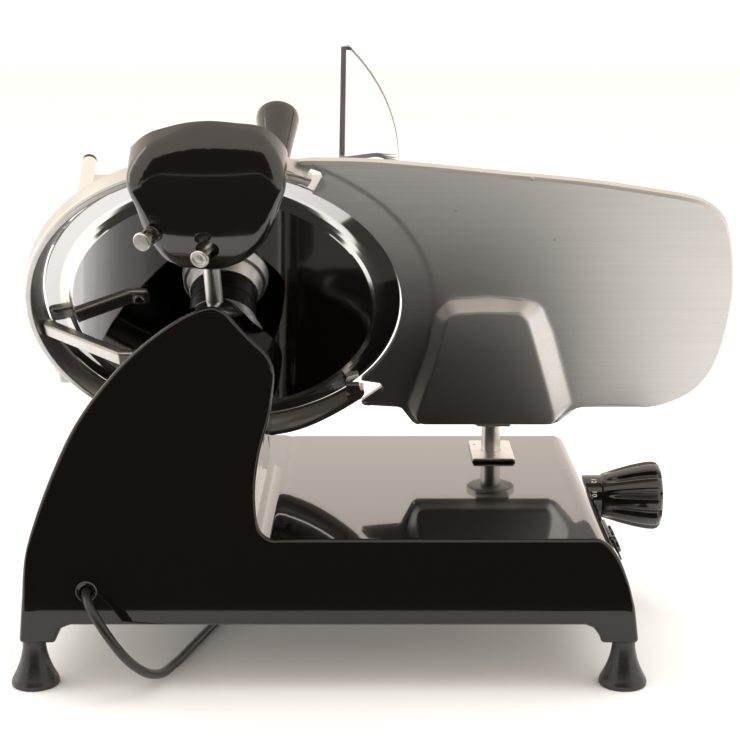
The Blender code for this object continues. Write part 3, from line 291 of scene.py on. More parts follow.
# %% Acrylic, stone and print
acrylic_face = blank_finish("acrylic_face", "clear_acrylic", (0.985, 0.99, 0.995), 0.02, 0.0,
                            Transmission_Weight=1.0, IOR=1.12)
relief_of(acrylic_face, noise(acrylic_face, 18, 2), 0.01, 0.08)
acrylic_edge = blank_finish("acrylic_edge", "clear_acrylic", (0.20, 0.20, 0.235), 0.12)
vary_rough(acrylic_edge, noise(acrylic_edge, 400, 3), 0.09, 0.18)
grit_stone = blank_finish("grit_stone", "grinding_stone", (0.42, 0.38, 0.36), 0.9)
vary_colour(grit_stone, noise(grit_stone, 2200, 3), (0.25, 0.22, 0.20), (0.55, 0.50, 0.47))
relief_of(grit_stone, noise(grit_stone, 1800, 2), 0.12)
white_print = blank_finish("white_print", "black_plastic", (0.72, 0.71, 0.68), 0.5)
vary_rough(white_print, noise(white_print, 500, 3), 0.42, 0.6)
print("acrylic, stone and print made")

# %% [markdown]
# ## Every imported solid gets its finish
#
# A solid whose shape is already right stays. It only takes the finish that belongs to its slot
# in the record. The ones that are replaced further down are hidden there.

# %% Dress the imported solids
FINISH_OF = {"black_paint": black_enamel, "black_plastic": gloss_moulding,
             "satin_aluminium": cast_satin, "brushed_plate": brushed_sheet,
             "mirror_steel": blade_mirror, "chrome": bright_chrome, "steel": machined_steel,
             "clear_acrylic": acrylic_face, "rubber": foot_rubber, "belt_rubber": belt_ribs,
             "cord_rubber": lead_sheath, "grinding_stone": grit_stone}
for part in frame["record"]["subparts"]:
    solid = frame["nodes"][part["node"]]
    solid.data.materials.clear()
    solid.data.materials.append(FINISH_OF[part["material_slot"]])

# %% [markdown]
# ## Ways of shaping
#
# Four ways make almost everything here. A turned piece comes off a lathe. A slab is a flat
# outline with a rounded rim. A relief is a plate whose two faces have a height at every point,
# for cast and pressed shapes. And one shape is cut from or joined to another with Boolean
# modifiers. Corners are always softened a little, because it is their thin highlight that makes
# an edge look real.

# %% Curves and softened corners


def smooth_line(points, step=2.0):
    """A smooth curve through the points, with a point about every step."""
    p = [Vector(q) for q in points]
    p = [2 * p[0] - p[1]] + p + [2 * p[-1] - p[-2]]
    out = []
    for a, b, c, d in zip(p, p[1:], p[2:], p[3:]):
        h0, h1, h2 = (b - a).length, (c - b).length, (d - c).length
        m1 = ((b - a) / h0 * h1 + (c - b) / h1 * h0) / (h0 + h1)
        m2 = ((c - b) / h1 * h2 + (d - c) / h2 * h1) / (h1 + h2)
        n = max(1, round(h1 / step))
        for i in range(n):
            t = i / n
            s, q = t * t, t * t * t
            out.append((2 * q - 3 * s + 1) * b + (q - 2 * s + t) * h1 * m1
                       + (3 * s - 2 * q) * c + (q - s) * h1 * m2)
    return [tuple(v) for v in out] + [tuple(p[-2])]


NEARLY_STRAIGHT = math.radians(164)


def soften(points, radius, closed=True, bends=4):
    """The same line with each corner turned into a short arc."""
    out = []
    for i, q in enumerate(points):
        p = Vector(q)
        a, b = Vector(points[i - 1]) - p, Vector(points[(i + 1) % len(points)]) - p
        angle = a.angle(b) if a.length and b.length else math.pi
        if angle > NEARLY_STRAIGHT or (not closed and i in (0, len(points) - 1)):
            out.append(tuple(p))
            continue
        reach = min(radius / math.tan(angle / 2), 0.45 * a.length, 0.45 * b.length)
        start, end = p + a.normalized() * reach, p + b.normalized() * reach
        for k in range(bends + 1):
            t = k / bends
            out.append(tuple(start.lerp(p, t).lerp(p.lerp(end, t), t)))
    return out


def arc(cx, cy, r, a0, a1, n):
    """Points of a circle round (cx, cy) from a0 to a1 degrees, in n steps."""
    turns = [math.radians(a0 + (a1 - a0) * i / n) for i in range(n + 1)]
    return [(cx + r * math.cos(a), cy + r * math.sin(a)) for a in turns]


corner_arc = soften([(0, 0), (10, 0), (10, 10)], 2, closed=False)
print("a softened corner has", len(corner_arc) - 2, "points")

# %% [markdown]
# A turned piece is a profile carried round an axis. A slab is a flat curve with a thickness and
# a bevel, because a curve rounds the rim of any outline cleanly. A bar is a box with bevelled
# edges. Each of them becomes a plain mesh, which can then be cut by others or joined to them.

# %% Turned pieces, slabs and bars


def new_mesh(bm):
    """Closes a bmesh into a mesh with its faces turned outwards."""
    bmesh.ops.remove_doubles(bm, verts=bm.verts, dist=0.000002)
    bmesh.ops.recalc_face_normals(bm, faces=bm.faces)
    me = bpy.data.meshes.new("shape")
    bm.to_mesh(me)
    bm.free()
    return me


def spun(bm, r, a, z, rule=None):
    """A new point at a radius, an angle and a height, after the rule that bends the shape."""
    p = Vector((r * math.cos(a), r * math.sin(a), z))
    return bm.verts.new(Vector(rule(p) if rule else p) * MM)


def turned(profile, soft=0.5, steps=96, rule=None):
    """A lathe shape; the profile runs from the axis to the axis, or round a closed section."""
    on_axis = profile[0][0] == 0
    bm = bmesh.new()
    rings = []
    for r, z in soften(profile, soft, closed=not on_axis):
        around = range(1 if r < 1e-6 else steps)
        rings.append([spun(bm, r, 2 * math.pi * i / steps, z, rule) for i in around])
    if not on_axis:
        rings.append(rings[0])
    for one, two in zip(rings, rings[1:]):
        for i in range(steps):
            j = (i + 1) % steps
            if len(one) == 1:
                bm.faces.new((one[0], two[i], two[j]))
            elif len(two) == 1:
                bm.faces.new((one[i], one[j], two[0]))
            else:
                bm.faces.new((one[i], one[j], two[j], two[i]))
    return new_mesh(bm)


def settled(thing):
    """The final mesh of an object with its modifiers; the object itself is removed."""
    bpy.context.scene.collection.objects.link(thing)
    bpy.context.view_layer.update()
    me = bpy.data.meshes.new_from_object(
        thing.evaluated_get(bpy.context.evaluated_depsgraph_get()))
    bpy.data.objects.remove(thing, do_unlink=True)
    return me


def slab(outline, low, high, rim=0.8, holes=(), bends=4):
    """A flat outline with a thickness from low to high and a rounded rim."""
    line = bpy.data.curves.new("outline", "CURVE")
    line.dimensions = "2D"
    line.fill_mode = "BOTH"
    line.extrude = ((high - low) / 2 - rim) * MM
    line.bevel_depth = rim * MM
    line.offset = -rim * MM
    line.bevel_resolution = bends
    for loop in (outline, *holes):
        spline = line.splines.new("POLY")
        spline.points.add(len(loop) - 1)
        for p, (x, y) in zip(spline.points, loop):
            p.co = (x * MM, y * MM, 0, 1)
        spline.use_cyclic_u = True
    me = settled(bpy.data.objects.new("outline", line))
    bm = bmesh.new()
    bm.from_mesh(me)
    bmesh.ops.translate(bm, vec=(0, 0, (low + high) / 2 * MM), verts=bm.verts)
    return new_mesh(bm)


def bar(low, high, rim=1.0):
    """A box with rounded edges between two corners."""
    bm = bmesh.new()
    bmesh.ops.create_cube(bm, size=1.0)
    size, middle = Vector(high) - Vector(low), (Vector(high) + Vector(low)) / 2
    bmesh.ops.scale(bm, vec=size * MM, verts=bm.verts)
    bmesh.ops.translate(bm, vec=middle * MM, verts=bm.verts)
    if rim:
        bmesh.ops.bevel(bm, geom=bm.edges[:], offset=rim * MM, segments=4, profile=0.5,
                        affect="EDGES")
    return new_mesh(bm)


print("ways to make a mesh:", turned.__name__, slab.__name__, bar.__name__)

# %% [markdown]
# Two small helpers finish the set. One moves a mesh to where it is needed. The other cuts
# meshes out of a body, or joins them to it, with Boolean modifiers that are applied at once.

# %% Move, cut and join


def moved(me, where):
    """The mesh itself, moved and turned by a matrix."""
    me.transform(where)
    return me


def with_tools(me, tools, how="DIFFERENCE"):
    """The mesh with each tool shape cut out of it, or joined to it."""
    body = bpy.data.objects.new("body", me)
    helpers = []
    for tool in tools:
        o = bpy.data.objects.new("tool", tool)
        bpy.context.scene.collection.objects.link(o)
        helpers.append(o)
        modifier = body.modifiers.new("cut", "BOOLEAN")
        modifier.operation = how
        modifier.solver = "EXACT"
        modifier.object = o
    me = settled(body)
    for o in helpers:
        bpy.data.objects.remove(o, do_unlink=True)
    return me


print("ways to change a mesh:", moved.__name__, with_tools.__name__)

# %% [markdown]
# A relief starts from its outline. Rings of points follow the outline at small distances, so
# that a rounded rim has points to bend on, and a grid fills the middle. Delaunay triangulation
# joins them, and then every point gets its height on the upper and the lower face.

# %% Reliefs


def in_parts(points, size=4000):
    """The points' numbers in parts of about that size, so that the arrays stay small."""
    return np.array_split(np.arange(len(points)), max(1, len(points) // size))


def to_line(points, loop):
    """Distance from each point to a closed line."""
    a = np.asarray(loop, float)
    edge = np.roll(a, -1, 0) - a
    size = np.maximum((edge ** 2).sum(1), 1e-12)
    best = np.full(len(points), 1e9)
    for part in in_parts(points):
        q = points[part][:, None, :] - a[None]
        t = np.clip((q * edge[None]).sum(2) / size, 0, 1)
        best[part] = np.sqrt(((q - t[..., None] * edge[None]) ** 2).sum(2)).min(1)
    return best


def within(points, loop):
    """True for each point inside a closed line."""
    a = np.asarray(loop, float)
    b = np.roll(a, -1, 0)
    x, y = points[:, 0:1], points[:, 1:2]
    rise = np.where(b[:, 1] == a[:, 1], 1e-12, b[:, 1] - a[:, 1])
    crossing = ((a[:, 1] > y) != (b[:, 1] > y)) \
        & (x < (b[:, 0] - a[:, 0]) * (y - a[:, 1]) / rise + a[:, 0])
    return crossing.sum(1) % 2 == 1


def leftwards(loop):
    """For each point of a closed line, the direction across it, to the left."""
    along = np.roll(loop, -1, 0) - np.roll(loop, 1, 0)
    along /= np.linalg.norm(along, axis=1)[:, None]
    return np.stack([-along[:, 1], along[:, 0]], 1)


def relief(outline, pitch, offsets, upper, lower, creases=()):
    """A plate with a height for every point (x, y, distance from the rim) of both faces.

    Creases are lines along which a face bends; they get rows of points of their own.
    """
    loop = np.array(outline, float)
    turn = (loop[:, 0] * np.roll(loop[:, 1], -1) - np.roll(loop[:, 0], -1) * loop[:, 1]).sum()
    loop = loop if turn > 0 else loop[::-1]
    inward = leftwards(loop)
    points = [loop]
    for d in offsets:
        ring = loop + inward * d
        points.append(ring[(to_line(ring, loop) > d * 0.93) & within(ring, loop)])
    low, high = loop.min(0), loop.max(0)
    xs, ys = np.meshgrid(np.arange(low[0], high[0], pitch), np.arange(low[1], high[1], pitch))
    grid = np.stack([xs.ravel(), ys.ravel()], 1)
    grid = grid[within(grid, loop)]
    grid = grid[to_line(grid, loop) > offsets[-1] + pitch * 0.6]
    for line in creases:
        rows = np.array(line, float)
        rows = rows[within(rows, loop)]
        rows = rows[to_line(rows, loop) > offsets[-1] + 0.4]
        if not len(rows):
            continue
        free = [np.sqrt(((grid[part][:, None] - rows[None]) ** 2).sum(2)).min(1) > pitch * 0.6
                for part in in_parts(grid, 500)]
        grid = grid[np.concatenate(free)]
        points.append(rows)
    points.append(grid)
    places = [Vector(p) for p in np.concatenate(points)]
    found = geometry.delaunay_2d_cdt(places, [], [list(range(len(loop)))], 1, 0.0001)
    flat = np.array([tuple(v) for v in found[0]])
    rim = to_line(flat, loop)
    bm = bmesh.new()
    up, down = ([bm.verts.new((x * MM, y * MM, z * MM))
                 for (x, y), z in zip(flat, face(flat[:, 0], flat[:, 1], rim))]
                for face in (upper, lower))
    edges = {}
    for f in found[2]:
        bm.faces.new([up[i] for i in f])
        bm.faces.new([down[i] for i in reversed(f)])
        edges.update(dict.fromkeys(zip(f, list(f[1:]) + [f[0]])))
    for i, j in edges:
        if (j, i) not in edges:
            bm.faces.new((up[j], up[i], down[i], down[j]))
    return new_mesh(bm)


def rounding(distance, radius):
    """How far a rim of that radius has dropped at a distance from its edge."""
    t = np.clip(1 - distance / radius, 0, 1)
    return radius * (1 - np.sqrt(np.maximum(0, 1 - t * t)))


print("2 mm in, a rim of radius 5 has dropped by %.2f mm" % rounding(2.0, 5.0))

# %% [markdown]
# The last helper makes a piece of a mesh: it gets its name, finish and place, rides on its body
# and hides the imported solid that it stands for. A weighted-normal modifier keeps large flat
# faces flat in the light beside small rounded rims.

# %% Make a piece


def make_piece(name, me, finish, body, where=MACHINE, stands_for=(), sharp=40):
    """Puts a mesh into the scene as a piece that rides on its body; sharp is in degrees."""
    thing = bpy.data.objects.new(name, me)
    bpy.context.scene.collection.objects.link(thing)
    if finish:
        me.materials.clear()
        me.materials.append(finish)
    me.shade_smooth()
    me.set_sharp_from_angle(angle=math.radians(sharp))
    modifier = thing.modifiers.new("flat faces stay flat", "WEIGHTED_NORMAL")
    modifier.keep_sharp = True
    thing.matrix_world = where
    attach(thing, body)
    if stands_for:
        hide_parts(*([stands_for] if isinstance(stands_for, str) else stands_for))
    print("%-22s %6d faces on %s" % (name, len(me.polygons), body))
    return thing


print("pieces so far:", len(frame["nodes"]), "packed solids")

# %% [markdown]
# ## The mains lead
#
# The lead leaves the front of the casting through a gland, bends down to the table and runs
# back under the machine. The photograph shows only its first stretch, so the rest lies in a
# flat coil of two layers behind the machine, with its plug on top. It is one curve with a round
# section: 1.5 m of 6.3 mm rubber lead. The camera and the lead come before every other piece.

# %% The route of the lead
LEAD_R = 3.15
GLAND_X, GLAND_Z = -186.0, 70.8
COIL_X, COIL_Y, COIL_MIDDLE_R, LAYER_TURNS, COIL_PITCH = -40.0, 331.0, 35.0, 2.125, 7.0
FLOOR_Z, LAYER_Z = LEAD_R + 0.1, 2 * LEAD_R + 0.6
turns = 2 * LAYER_TURNS + 0.5
outer_r = COIL_MIDDLE_R + turns * COIL_PITCH / 4
meet_x, meet_y = COIL_X - outer_r, COIL_Y - 2 * LEAD_R
free_stretch = [(GLAND_X, 0, GLAND_Z), (GLAND_X, -3, GLAND_Z), (-182.0, -16, 66.3),
                (-171.0, -24.5, 51.5), (-159.5, -22.5, 34.0), (-149.5, -9, 18.5),
                (-141.0, 14, 7.6), (-134, 42, FLOOR_Z + 0.9), (-126, 76, FLOOR_Z),
                (-108, 150, FLOOR_Z), (-92, 225, FLOOR_Z), (meet_x - 0.6, 285, FLOOR_Z),
                (meet_x, meet_y - 14, FLOOR_Z), (meet_x, meet_y, FLOOR_Z)]


def coil_point(turn):
    """Clockwise from above: in over the floor, up a layer in half a turn, and out again."""
    a = math.pi - 2 * math.pi * turn
    r = outer_r - COIL_PITCH * min(turn, turns - turn)
    rise = min(1.0, max(0.0, (turn - LAYER_TURNS) * 2))
    return (COIL_X + r * math.cos(a), COIL_Y + r * math.sin(a), FLOOR_Z + rise * LAYER_Z)


coil = [coil_point(i / 48) for i in range(1, round(turns * 48) + 1)]
tail_y, tail_z = coil[-1][1], coil[-1][2]
coil += [(x, tail_y, tail_z) for x in (COIL_X - 12, COIL_X - 31, COIL_X - 50)]
lead_route = [MACHINE @ (Vector(p) * MM) for p in smooth_line(free_stretch, 3.0) + coil]

# %% [markdown]
# A curve with a bevel depth is a round tube along its points. It stays one open spline, so that
# the lead's real length can be read from it.

# %% The lead as a curve
lead_curve = bpy.data.curves.new("mains_lead", "CURVE")
lead_curve.dimensions = "3D"
lead_curve.bevel_depth = LEAD_R * MM
lead_curve.bevel_resolution = 5
lead_curve.use_fill_caps = True
strand = lead_curve.splines.new("POLY")
strand.points.add(len(lead_route) - 1)
for point, place in zip(strand.points, lead_route):
    point.co = (*place, 1)
strand.use_smooth = True
lead_curve.materials.append(lead_sheath)
lead = bpy.data.objects.new("lead", lead_curve)
bpy.context.scene.collection.objects.link(lead)
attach(lead, "base")
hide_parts("mains_cord", "cord_coil")

# %% [markdown]
# The plug is a flat moulding that narrows to the lead, with grooves for the fingers in its
# sides and two round pins. The gland is a threaded nut with a rounded lip.

# %% The plug and the gland
PLUG_X = COIL_X - 50.3
PLUG_L, PLUG_W, PLUG_H, PLUG_TAPER, PLUG_NOSE = 38.0, 34.0, 20.0, 17.0, 13.0
PIN_OUT = 9.5
plug_side = [(PLUG_X - PLUG_L, PLUG_W / 2), (PLUG_X - PLUG_TAPER, PLUG_W / 2),
             (PLUG_X, PLUG_NOSE / 2)]
plug_line = soften([(x, -y) for x, y in plug_side] + plug_side[::-1], 5.0, bends=6)
plug_body = slab(plug_line, 0.1, 0.1 + PLUG_H, 4.0, bends=6)
grooves = [slab(arc(PLUG_X - 9 - 5 * i, s * (14.5 + 1.6 * i), 1.6, 0, 345, 23), 3, 17.5, 0.5)
           for i in range(3) for s in (-1, 1)]
plug = make_piece("plug_moulding", with_tools(plug_body, grooves), foot_rubber, "base",
                  towards(MACHINE, (0, tail_y, 0)), "mains_plug")
for letter, side in (("a", -PIN_OUT), ("b", PIN_OUT)):
    pin = turned([(0, 19), (1.2, 19), (2.4, 17.6), (2.4, -2), (0, -2)], 0.3, 32)
    pin_at = towards(MACHINE, (PLUG_X - PLUG_L, tail_y + side, tail_z), (-1, 0, 0))
    make_piece("plug_pin_" + letter, pin, bright_chrome, "base", pin_at)
gland = turned([(LEAD_R + 2.5, 14), (LEAD_R + 2.5, -0.3), (LEAD_R + 4.1, -0.3),
                (LEAD_R + 4.1, -1.9), (LEAD_R + 3.3, -2.9), (LEAD_R + 1.4, -2.6),
                (LEAD_R + 0.5, -0.8), (LEAD_R + 0.5, 14)], 0.5, 64)
make_piece("gland_nut", gland, gloss_moulding, "base",
           towards(MACHINE, (GLAND_X, 0, GLAND_Z), (0, 1, 0)), "cord_gland")

# %% [markdown]
# ## The base casting
#
# One hollow casting carries everything: two end walls with feet, a flat deck for the slices and
# the tall upright under the sharpener. Its outline is a smooth curve seen from the front, so it
# is drawn as a slab with a rounded rim and then cut: behind the upright parallel to the blade,
# hollow inside, and open under the belly and the two ends.

# %% The casting's outline
DECK, DEPTH = 105.7, 282.0
SHELL = [(-229.9, 60.4), (-226.0, 95.5), (-217.3, 123.3), (-206.4, 150.6), (-190.3, 182.9),
         (-171.5, 208.8), (-153.4, 228.2), (-137.0, 241.8), (-123.1, 251.2), (-114.1, 256.1),
         (-106.0, 259.2), (-99.5, 260.0), (-93.9, 257.6), (-85.7, 249.2), (-77.2, 240.0),
         (-69.8, 232.9), (-64.9, 227.6), (-62.2, 222.3), (-61.2, 216.6), (-61.6, 209.0),
         (-62.8, 200.6), (-64.2, 191.4), (-71.9, 160.9), (-74.7, 130.1),
         (-73.1, 116.2), (-70.2, 109.4), (-65.2, DECK), (-58.0, DECK), (142.0, DECK),
         (149.8, DECK), (156.8, 101.6), (161.3, 96.1), (169.7, 77.3), (174.9, 58.3)]
FEET_LINE = [(177.9, 34), (153.3, 34), (151.6, 39.1), (147.7, 44.4), (142.4, 46.5),
             (-197.8, 46.5), (-204.4, 44.0), (-208.8, 34), (-232.3, 34)]
casting_line = soften(smooth_line(SHELL, 2.5) + FEET_LINE, 3.0, bends=4)
FALL_FROM, FALL_OVER, TOP_FALL = 150.0, 74.0, 0.082
XZ = Matrix(((1, 0, 0, 0), (0, 0, -1, 0), (0, 1, 0, 0), (0, 0, 0, 1)))
YZ = Matrix(((0, 0, 1, 0), (1, 0, 0, 0), (0, 1, 0, 0), (0, 0, 0, 1)))


def top_fall(me):
    """The upright's top falls a little towards the back."""
    for v in me.vertices:
        share = min(1.0, max(0.0, (v.co.z / MM - FALL_FROM) / FALL_OVER))
        v.co.z -= TOP_FALL * v.co.y * share
    return me


def from_front(outline, near, far, rim=0.0, **more):
    """A slab with its outline in x and z, from near to far back."""
    return moved(slab(outline, -far, -near, rim, **more), XZ)


def from_side(outline, low, high, rim=1.2, **more):
    """A slab with its outline in y and z, from low to high along x."""
    return moved(slab(outline, low, high, rim, **more), YZ)


def inset(loop, d):
    """The outline moved inwards by d, corner by corner (the loop runs clockwise)."""
    out = []
    for i, q in enumerate(loop):
        a, b, c = Vector(loop[i - 1]), Vector(q), Vector(loop[(i + 1) % len(loop)])
        e1, e2 = (b - a).normalized(), (c - b).normalized()
        n1, n2 = Vector((e1.y, -e1.x)), Vector((e2.y, -e2.x))
        m = (n1 + n2).normalized()
        out.append(tuple(b + m * d / max(0.5, m.dot(n1))))
    return out


print("casting outline:", len(casting_line), "points")

# %% [markdown]
# The cuts are plain shapes: a wedge behind the upright, the outline again one wall smaller for
# the hollow, and a rod wherever a post, a shaft or a button passes through. Two lugs at the
# back are joined on last, to carry the carriage's rail.

# %% Cut and pierce the casting
WALL = 4.0
ARM_SCREW_U, ARM_V = -63.5, -18.5
HOOD_POST = (1, 0, 56)
KNOB_Y, KNOB_Z = 200, 78.5
SWITCH = towards(MACHINE, (165.5, 60.0, 86.7)) \
    @ Matrix.Rotation(math.atan2(0.913, 0.408), 4, "Y")


def behind(z, w):
    """How far back the plane parallel to the blade lies at a height."""
    return CENTRE_Y - w * (math.cos(LEAN) + math.tan(LEAN) * math.sin(LEAN)) \
        - (z - CENTRE_Z) * math.tan(LEAN)


def wedge_behind(w, floor):
    """All that lies behind the plane parallel to the blade, from a height upwards."""
    outline = [(behind(floor, w), floor), (behind(320, w), 320), (400, 320), (400, floor)]
    return from_side(outline, -300, 300, 0)


def rod_shape(r, low, high, where, at, axis=(0, 0, 1)):
    """A plain cylinder in the machine's frame, to cut with."""
    local = MACHINE.inverted() @ towards(where, at, axis)
    return moved(turned([(0, high), (r, high), (r, low), (0, low)], 0, 64), local)


inner_line = inset(SHELL + [(174.9, 50.0), (-230.5, 50.0)], WALL)
hollow = with_tools(top_fall(from_front(inner_line, WALL, DEPTH - WALL)),
                    [wedge_behind(44, DECK - WALL), bar((-300, -10, 0), (300, 400, 62), 0)])
cuts = [wedge_behind(40, DECK), hollow, bar((-205, WALL, 10), (149, DEPTH - WALL, 70), 0),
        bar((-300, 32, 10), (-200.5, DEPTH - 34, 52), 0),
        bar((148, 32, 10), (300, DEPTH - 34, 52), 0),
        rod_shape(5.9, 20, 90, BLADE, HOOD_POST, (0, 1, 0)),
        rod_shape(24.3, 30, 60, BLADE, (0, 0, 0)),
        rod_shape(16.1, 0, 50, MACHINE, (148, KNOB_Y, KNOB_Z), (1, 0, 0)),
        rod_shape(6.0, -6, 12, MACHINE, (GLAND_X, 0, GLAND_Z), (0, 1, 0)),
        bar((85.5, 200.5, 98), (102.5, 234, 112), 0),
        rod_shape(2.3, 30, 60, BLADE, (ARM_SCREW_U, ARM_V, 0))]
cuts += [rod_shape(6.3, -12, 12, SWITCH, (0, y, 0)) for y in (-12, 12)]
casting = with_tools(top_fall(from_front(casting_line, 0, DEPTH, 3.2, bends=5)), cuts)
lugs = [bar((x0, DEPTH - 4, 59), (x1, 306, 85), 1.2)
        for x0, x1 in ((-225.3, -215.3), (157.0, 165.0))]
casting = with_tools(casting, lugs, "UNION")
make_piece("casting", casting, black_enamel, "base", MACHINE, "base_casting", sharp=35)

# %% [markdown]
# ## Four rubber feet
#
# Each foot is a waisted moulding that flares to a wide ring on the table. All four are turned
# from one profile, with a stem that plugs into the casting.

# %% Feet
foot_profile = [(0, 48), (3, 48), (3, 33.7), (7.7, 33.7)] \
    + smooth_line([(7.7, 31), (7.8, 27), (8.6, 22), (9.9, 17), (11.8, 12), (13.9, 7.6),
                   (15.4, 4.8), (16.0, 3.0)], 1.2) + [(16.0, 0.8), (15.2, 0), (0, 0)]
for x, side in ((-225, "left"), (170, "right")):
    for y, end in ((16, "front"), (DEPTH - 16, "rear")):
        make_piece("rubber_foot_%s_%s" % (end, side), turned(foot_profile, 0.5, 80),
                   foot_rubber, "base", towards(MACHINE, (x, y, 0)),
                   "foot_%s_%s" % (end, side), sharp=50)

# %% [markdown]
# ## The blade
#
# The blade is a round knife: a flat polished disc, a hollow-ground band and an outer band that
# is almost parallel to the disc again and ends in the cutting edge. In the photograph the
# hollow band is pale while both flat parts mirror the dark deck. The hollow band takes the
# ground finish, the flat parts the mirror one.

# %% Blade
BLADE_R, HOLLOW_FROM, HOLLOW_TO = 125.0, 105, 114.3
SCREW_CIRCLE, SCREW_PLAY = 16, 0.3
blade_profile = [(0, 7.0), (104.6, 7.0), (105.2, 6.75), (107.5, 5.3), (110, 4.1), (112.5, 3.25),
                 (114.4, 2.8), (124.3, 1.5), (124.9, 0.42), (BLADE_R, 0.0), (118, 0.0),
                 (108, 3.0), (0, 3.0)]


def screw_shape(play, long, soft=0.0):
    """A countersunk screw, or with some play the hole for one."""
    r, h, head = 2.5 + play, 4.5 + play, 3.2
    return turned([(0, long), (r, long), (r, head + 2.4), (h, head + 0.4),
                   (h, head - play * 10), (0, head - play * 10)], soft, 40)


screw_places = [(SCREW_CIRCLE * math.cos(a), SCREW_CIRCLE * math.sin(a), 0)
                for a in (math.radians(90 + 120 * k) for k in range(3))]


def with_screw_holes(me):
    """A mesh on the blade's axis with its three screw holes."""
    return with_tools(me, [moved(screw_shape(SCREW_PLAY, 30), towards(Matrix(), p))
                           for p in screw_places])


disc = make_piece("blade_disc", with_screw_holes(turned(blade_profile, 0.06, 256)), blade_mirror,
                  "blade", BLADE, "blade", sharp=6)
disc.data.materials.append(ground_bevel)
for face in disc.data.polygons:
    c = face.center / MM
    face.material_index = 1 if HOLLOW_FROM < math.hypot(c.x, c.y) < HOLLOW_TO else 0
for k, p in enumerate(screw_places):
    make_piece("countersunk_screw_%d" % (k + 1), screw_shape(0, 17, 0.2), machined_steel,
               "blade", towards(BLADE, p), "blade_screw_%d" % (k + 1))

# %% [markdown]
# ## Spindle, housing and drive
#
# Behind the blade the spindle turns in two bearings inside a housing, whose pale rings show
# around the sharpener's post. The carrier that holds the blade is near-black steel, a painted
# shade for the shadow under the hood, and its screw holes are the blade's. Belt, pulleys and
# motor sit inside the upright. They are all turned shapes, listed as radius and distance along
# the axis.

# %% Housing, flange, shaft, pulleys and motor
drive = [
    ("spindle_housing", "bearing_housing", lathe_bright, "base", (0, 0, 0),
     [(16.3, 90), (24, 90), (24, 39.7), (31.0, 39.7), (29.4, 31.6), (26.6, 31.3),
      (26.4, 30.6), (24.4, 20.6), (9, 20.6), (9, 26), (16.3, 26)]),
    # The carrier's near-black steel is painted shade from the hood above it.
    ("blade_carrier", "blade_flange", shade_dark_steel, "blade", (0, 0, 0),
     [(22.6, 20.3), (23.2, 19.3), (23.2, 7.3), (8.3, 7.3), (8.3, 20.3)]),
    ("spindle", "blade_shaft", machined_steel, "blade", (0, 0, 0),
     [(0, 108), (8, 108), (8, 7.3), (0, 7.3)]),
    ("driven_pulley", "blade_pulley", machined_steel, "blade", (0, 0, 0),
     [(25, 104), (25, 92), (8.3, 92), (8.3, 104)]),
    ("drive_pulley", "motor_pulley", machined_steel, "motor_pulley", (-45, -70, 0),
     [(0, 104), (8, 104), (8, 92), (4, 92), (4, 70.3), (0, 70.3)]),
    ("motor_can", "motor", machined_steel, "base", (-45, -70, 0),
     [(0, 70), (4.3, 70), (4.3, 88), (30, 88), (34, 84), (34, 44.3), (0, 44.3)])]
for name, node, finish, body, at, profile in drive:
    shape = turned(profile, 0.5)
    if node == "blade_flange":
        shape = with_screw_holes(shape)
    make_piece(name, shape, finish, body, towards(BLADE, at), node)

# %% [markdown]
# ## The guard ring
#
# A cast ring guards the edge except where the food meets it. It is one section carried round
# the blade's axis, thinner towards its two open ends, with a small block at each end. A lip on
# its inside reaches almost to the blade and closes the gap round it.

# %% Ring
RING_FROM, RING_TO, RING_STEPS = 61.7, 313.5, 260
RING_BORE, RING_LEAN, RING_W0, RING_HIGH = 128.0, 4.5, 0.6, 13.4
TAPER_TURN, TAPER_DROP = 26.0, 6.0
ring_section = soften([(136.4, 14), (138, 12.2), (138, -0.2), (126.0, -0.2), (126.0, 0.3),
                       (128.2, 0.7), (132.5, 14)], 1.3, bends=4)


def thinner_ends(p):
    """The ring's rule: near its two ends, its top comes down."""
    a = math.degrees(math.atan2(p.y, p.x)) % 360
    k = min(1.0, max(0.0, min(a - RING_FROM, RING_TO - a)) / TAPER_TURN)
    drop = TAPER_DROP * (1 - k * k * (3 - 2 * k))
    return (p.x, p.y, p.z - drop * min(1.0, max(0.0, (p.z - RING_W0) / RING_HIGH)))


def sweep(section, turns, rule):
    """A closed section (radius, height) carried round the z axis through the given angles."""
    bm = bmesh.new()
    rings = [[spun(bm, r, a, z, rule) for r, z in section] for a in turns]
    for one, two in zip(rings, rings[1:]):
        for i in range(len(section)):
            j = (i + 1) % len(section)
            bm.faces.new((one[i], one[j], two[j], two[i]))
    bm.faces.new(rings[0])
    bm.faces.new(rings[-1][::-1])
    return new_mesh(bm)


def end_block(low, high, w0, w1, rim=0.7):
    """A block between two outlines, given as distance outside the ring's bore and degrees."""
    bm = bmesh.new()
    floor, top = ([spun(bm, RING_BORE + out, math.radians(degrees), w) for out, degrees in line]
                  for line, w in ((low, w0), (high, w1)))
    bm.faces.new(floor[::-1])
    bm.faces.new(top)
    for i in range(len(low)):
        j = (i + 1) % len(low)
        bm.faces.new((floor[i], floor[j], top[j], top[i]))
    bmesh.ops.recalc_face_normals(bm, faces=bm.faces)
    bmesh.ops.bevel(bm, geom=bm.edges[:], offset=rim * MM, segments=3, profile=0.5,
                    affect="EDGES")
    return new_mesh(bm)


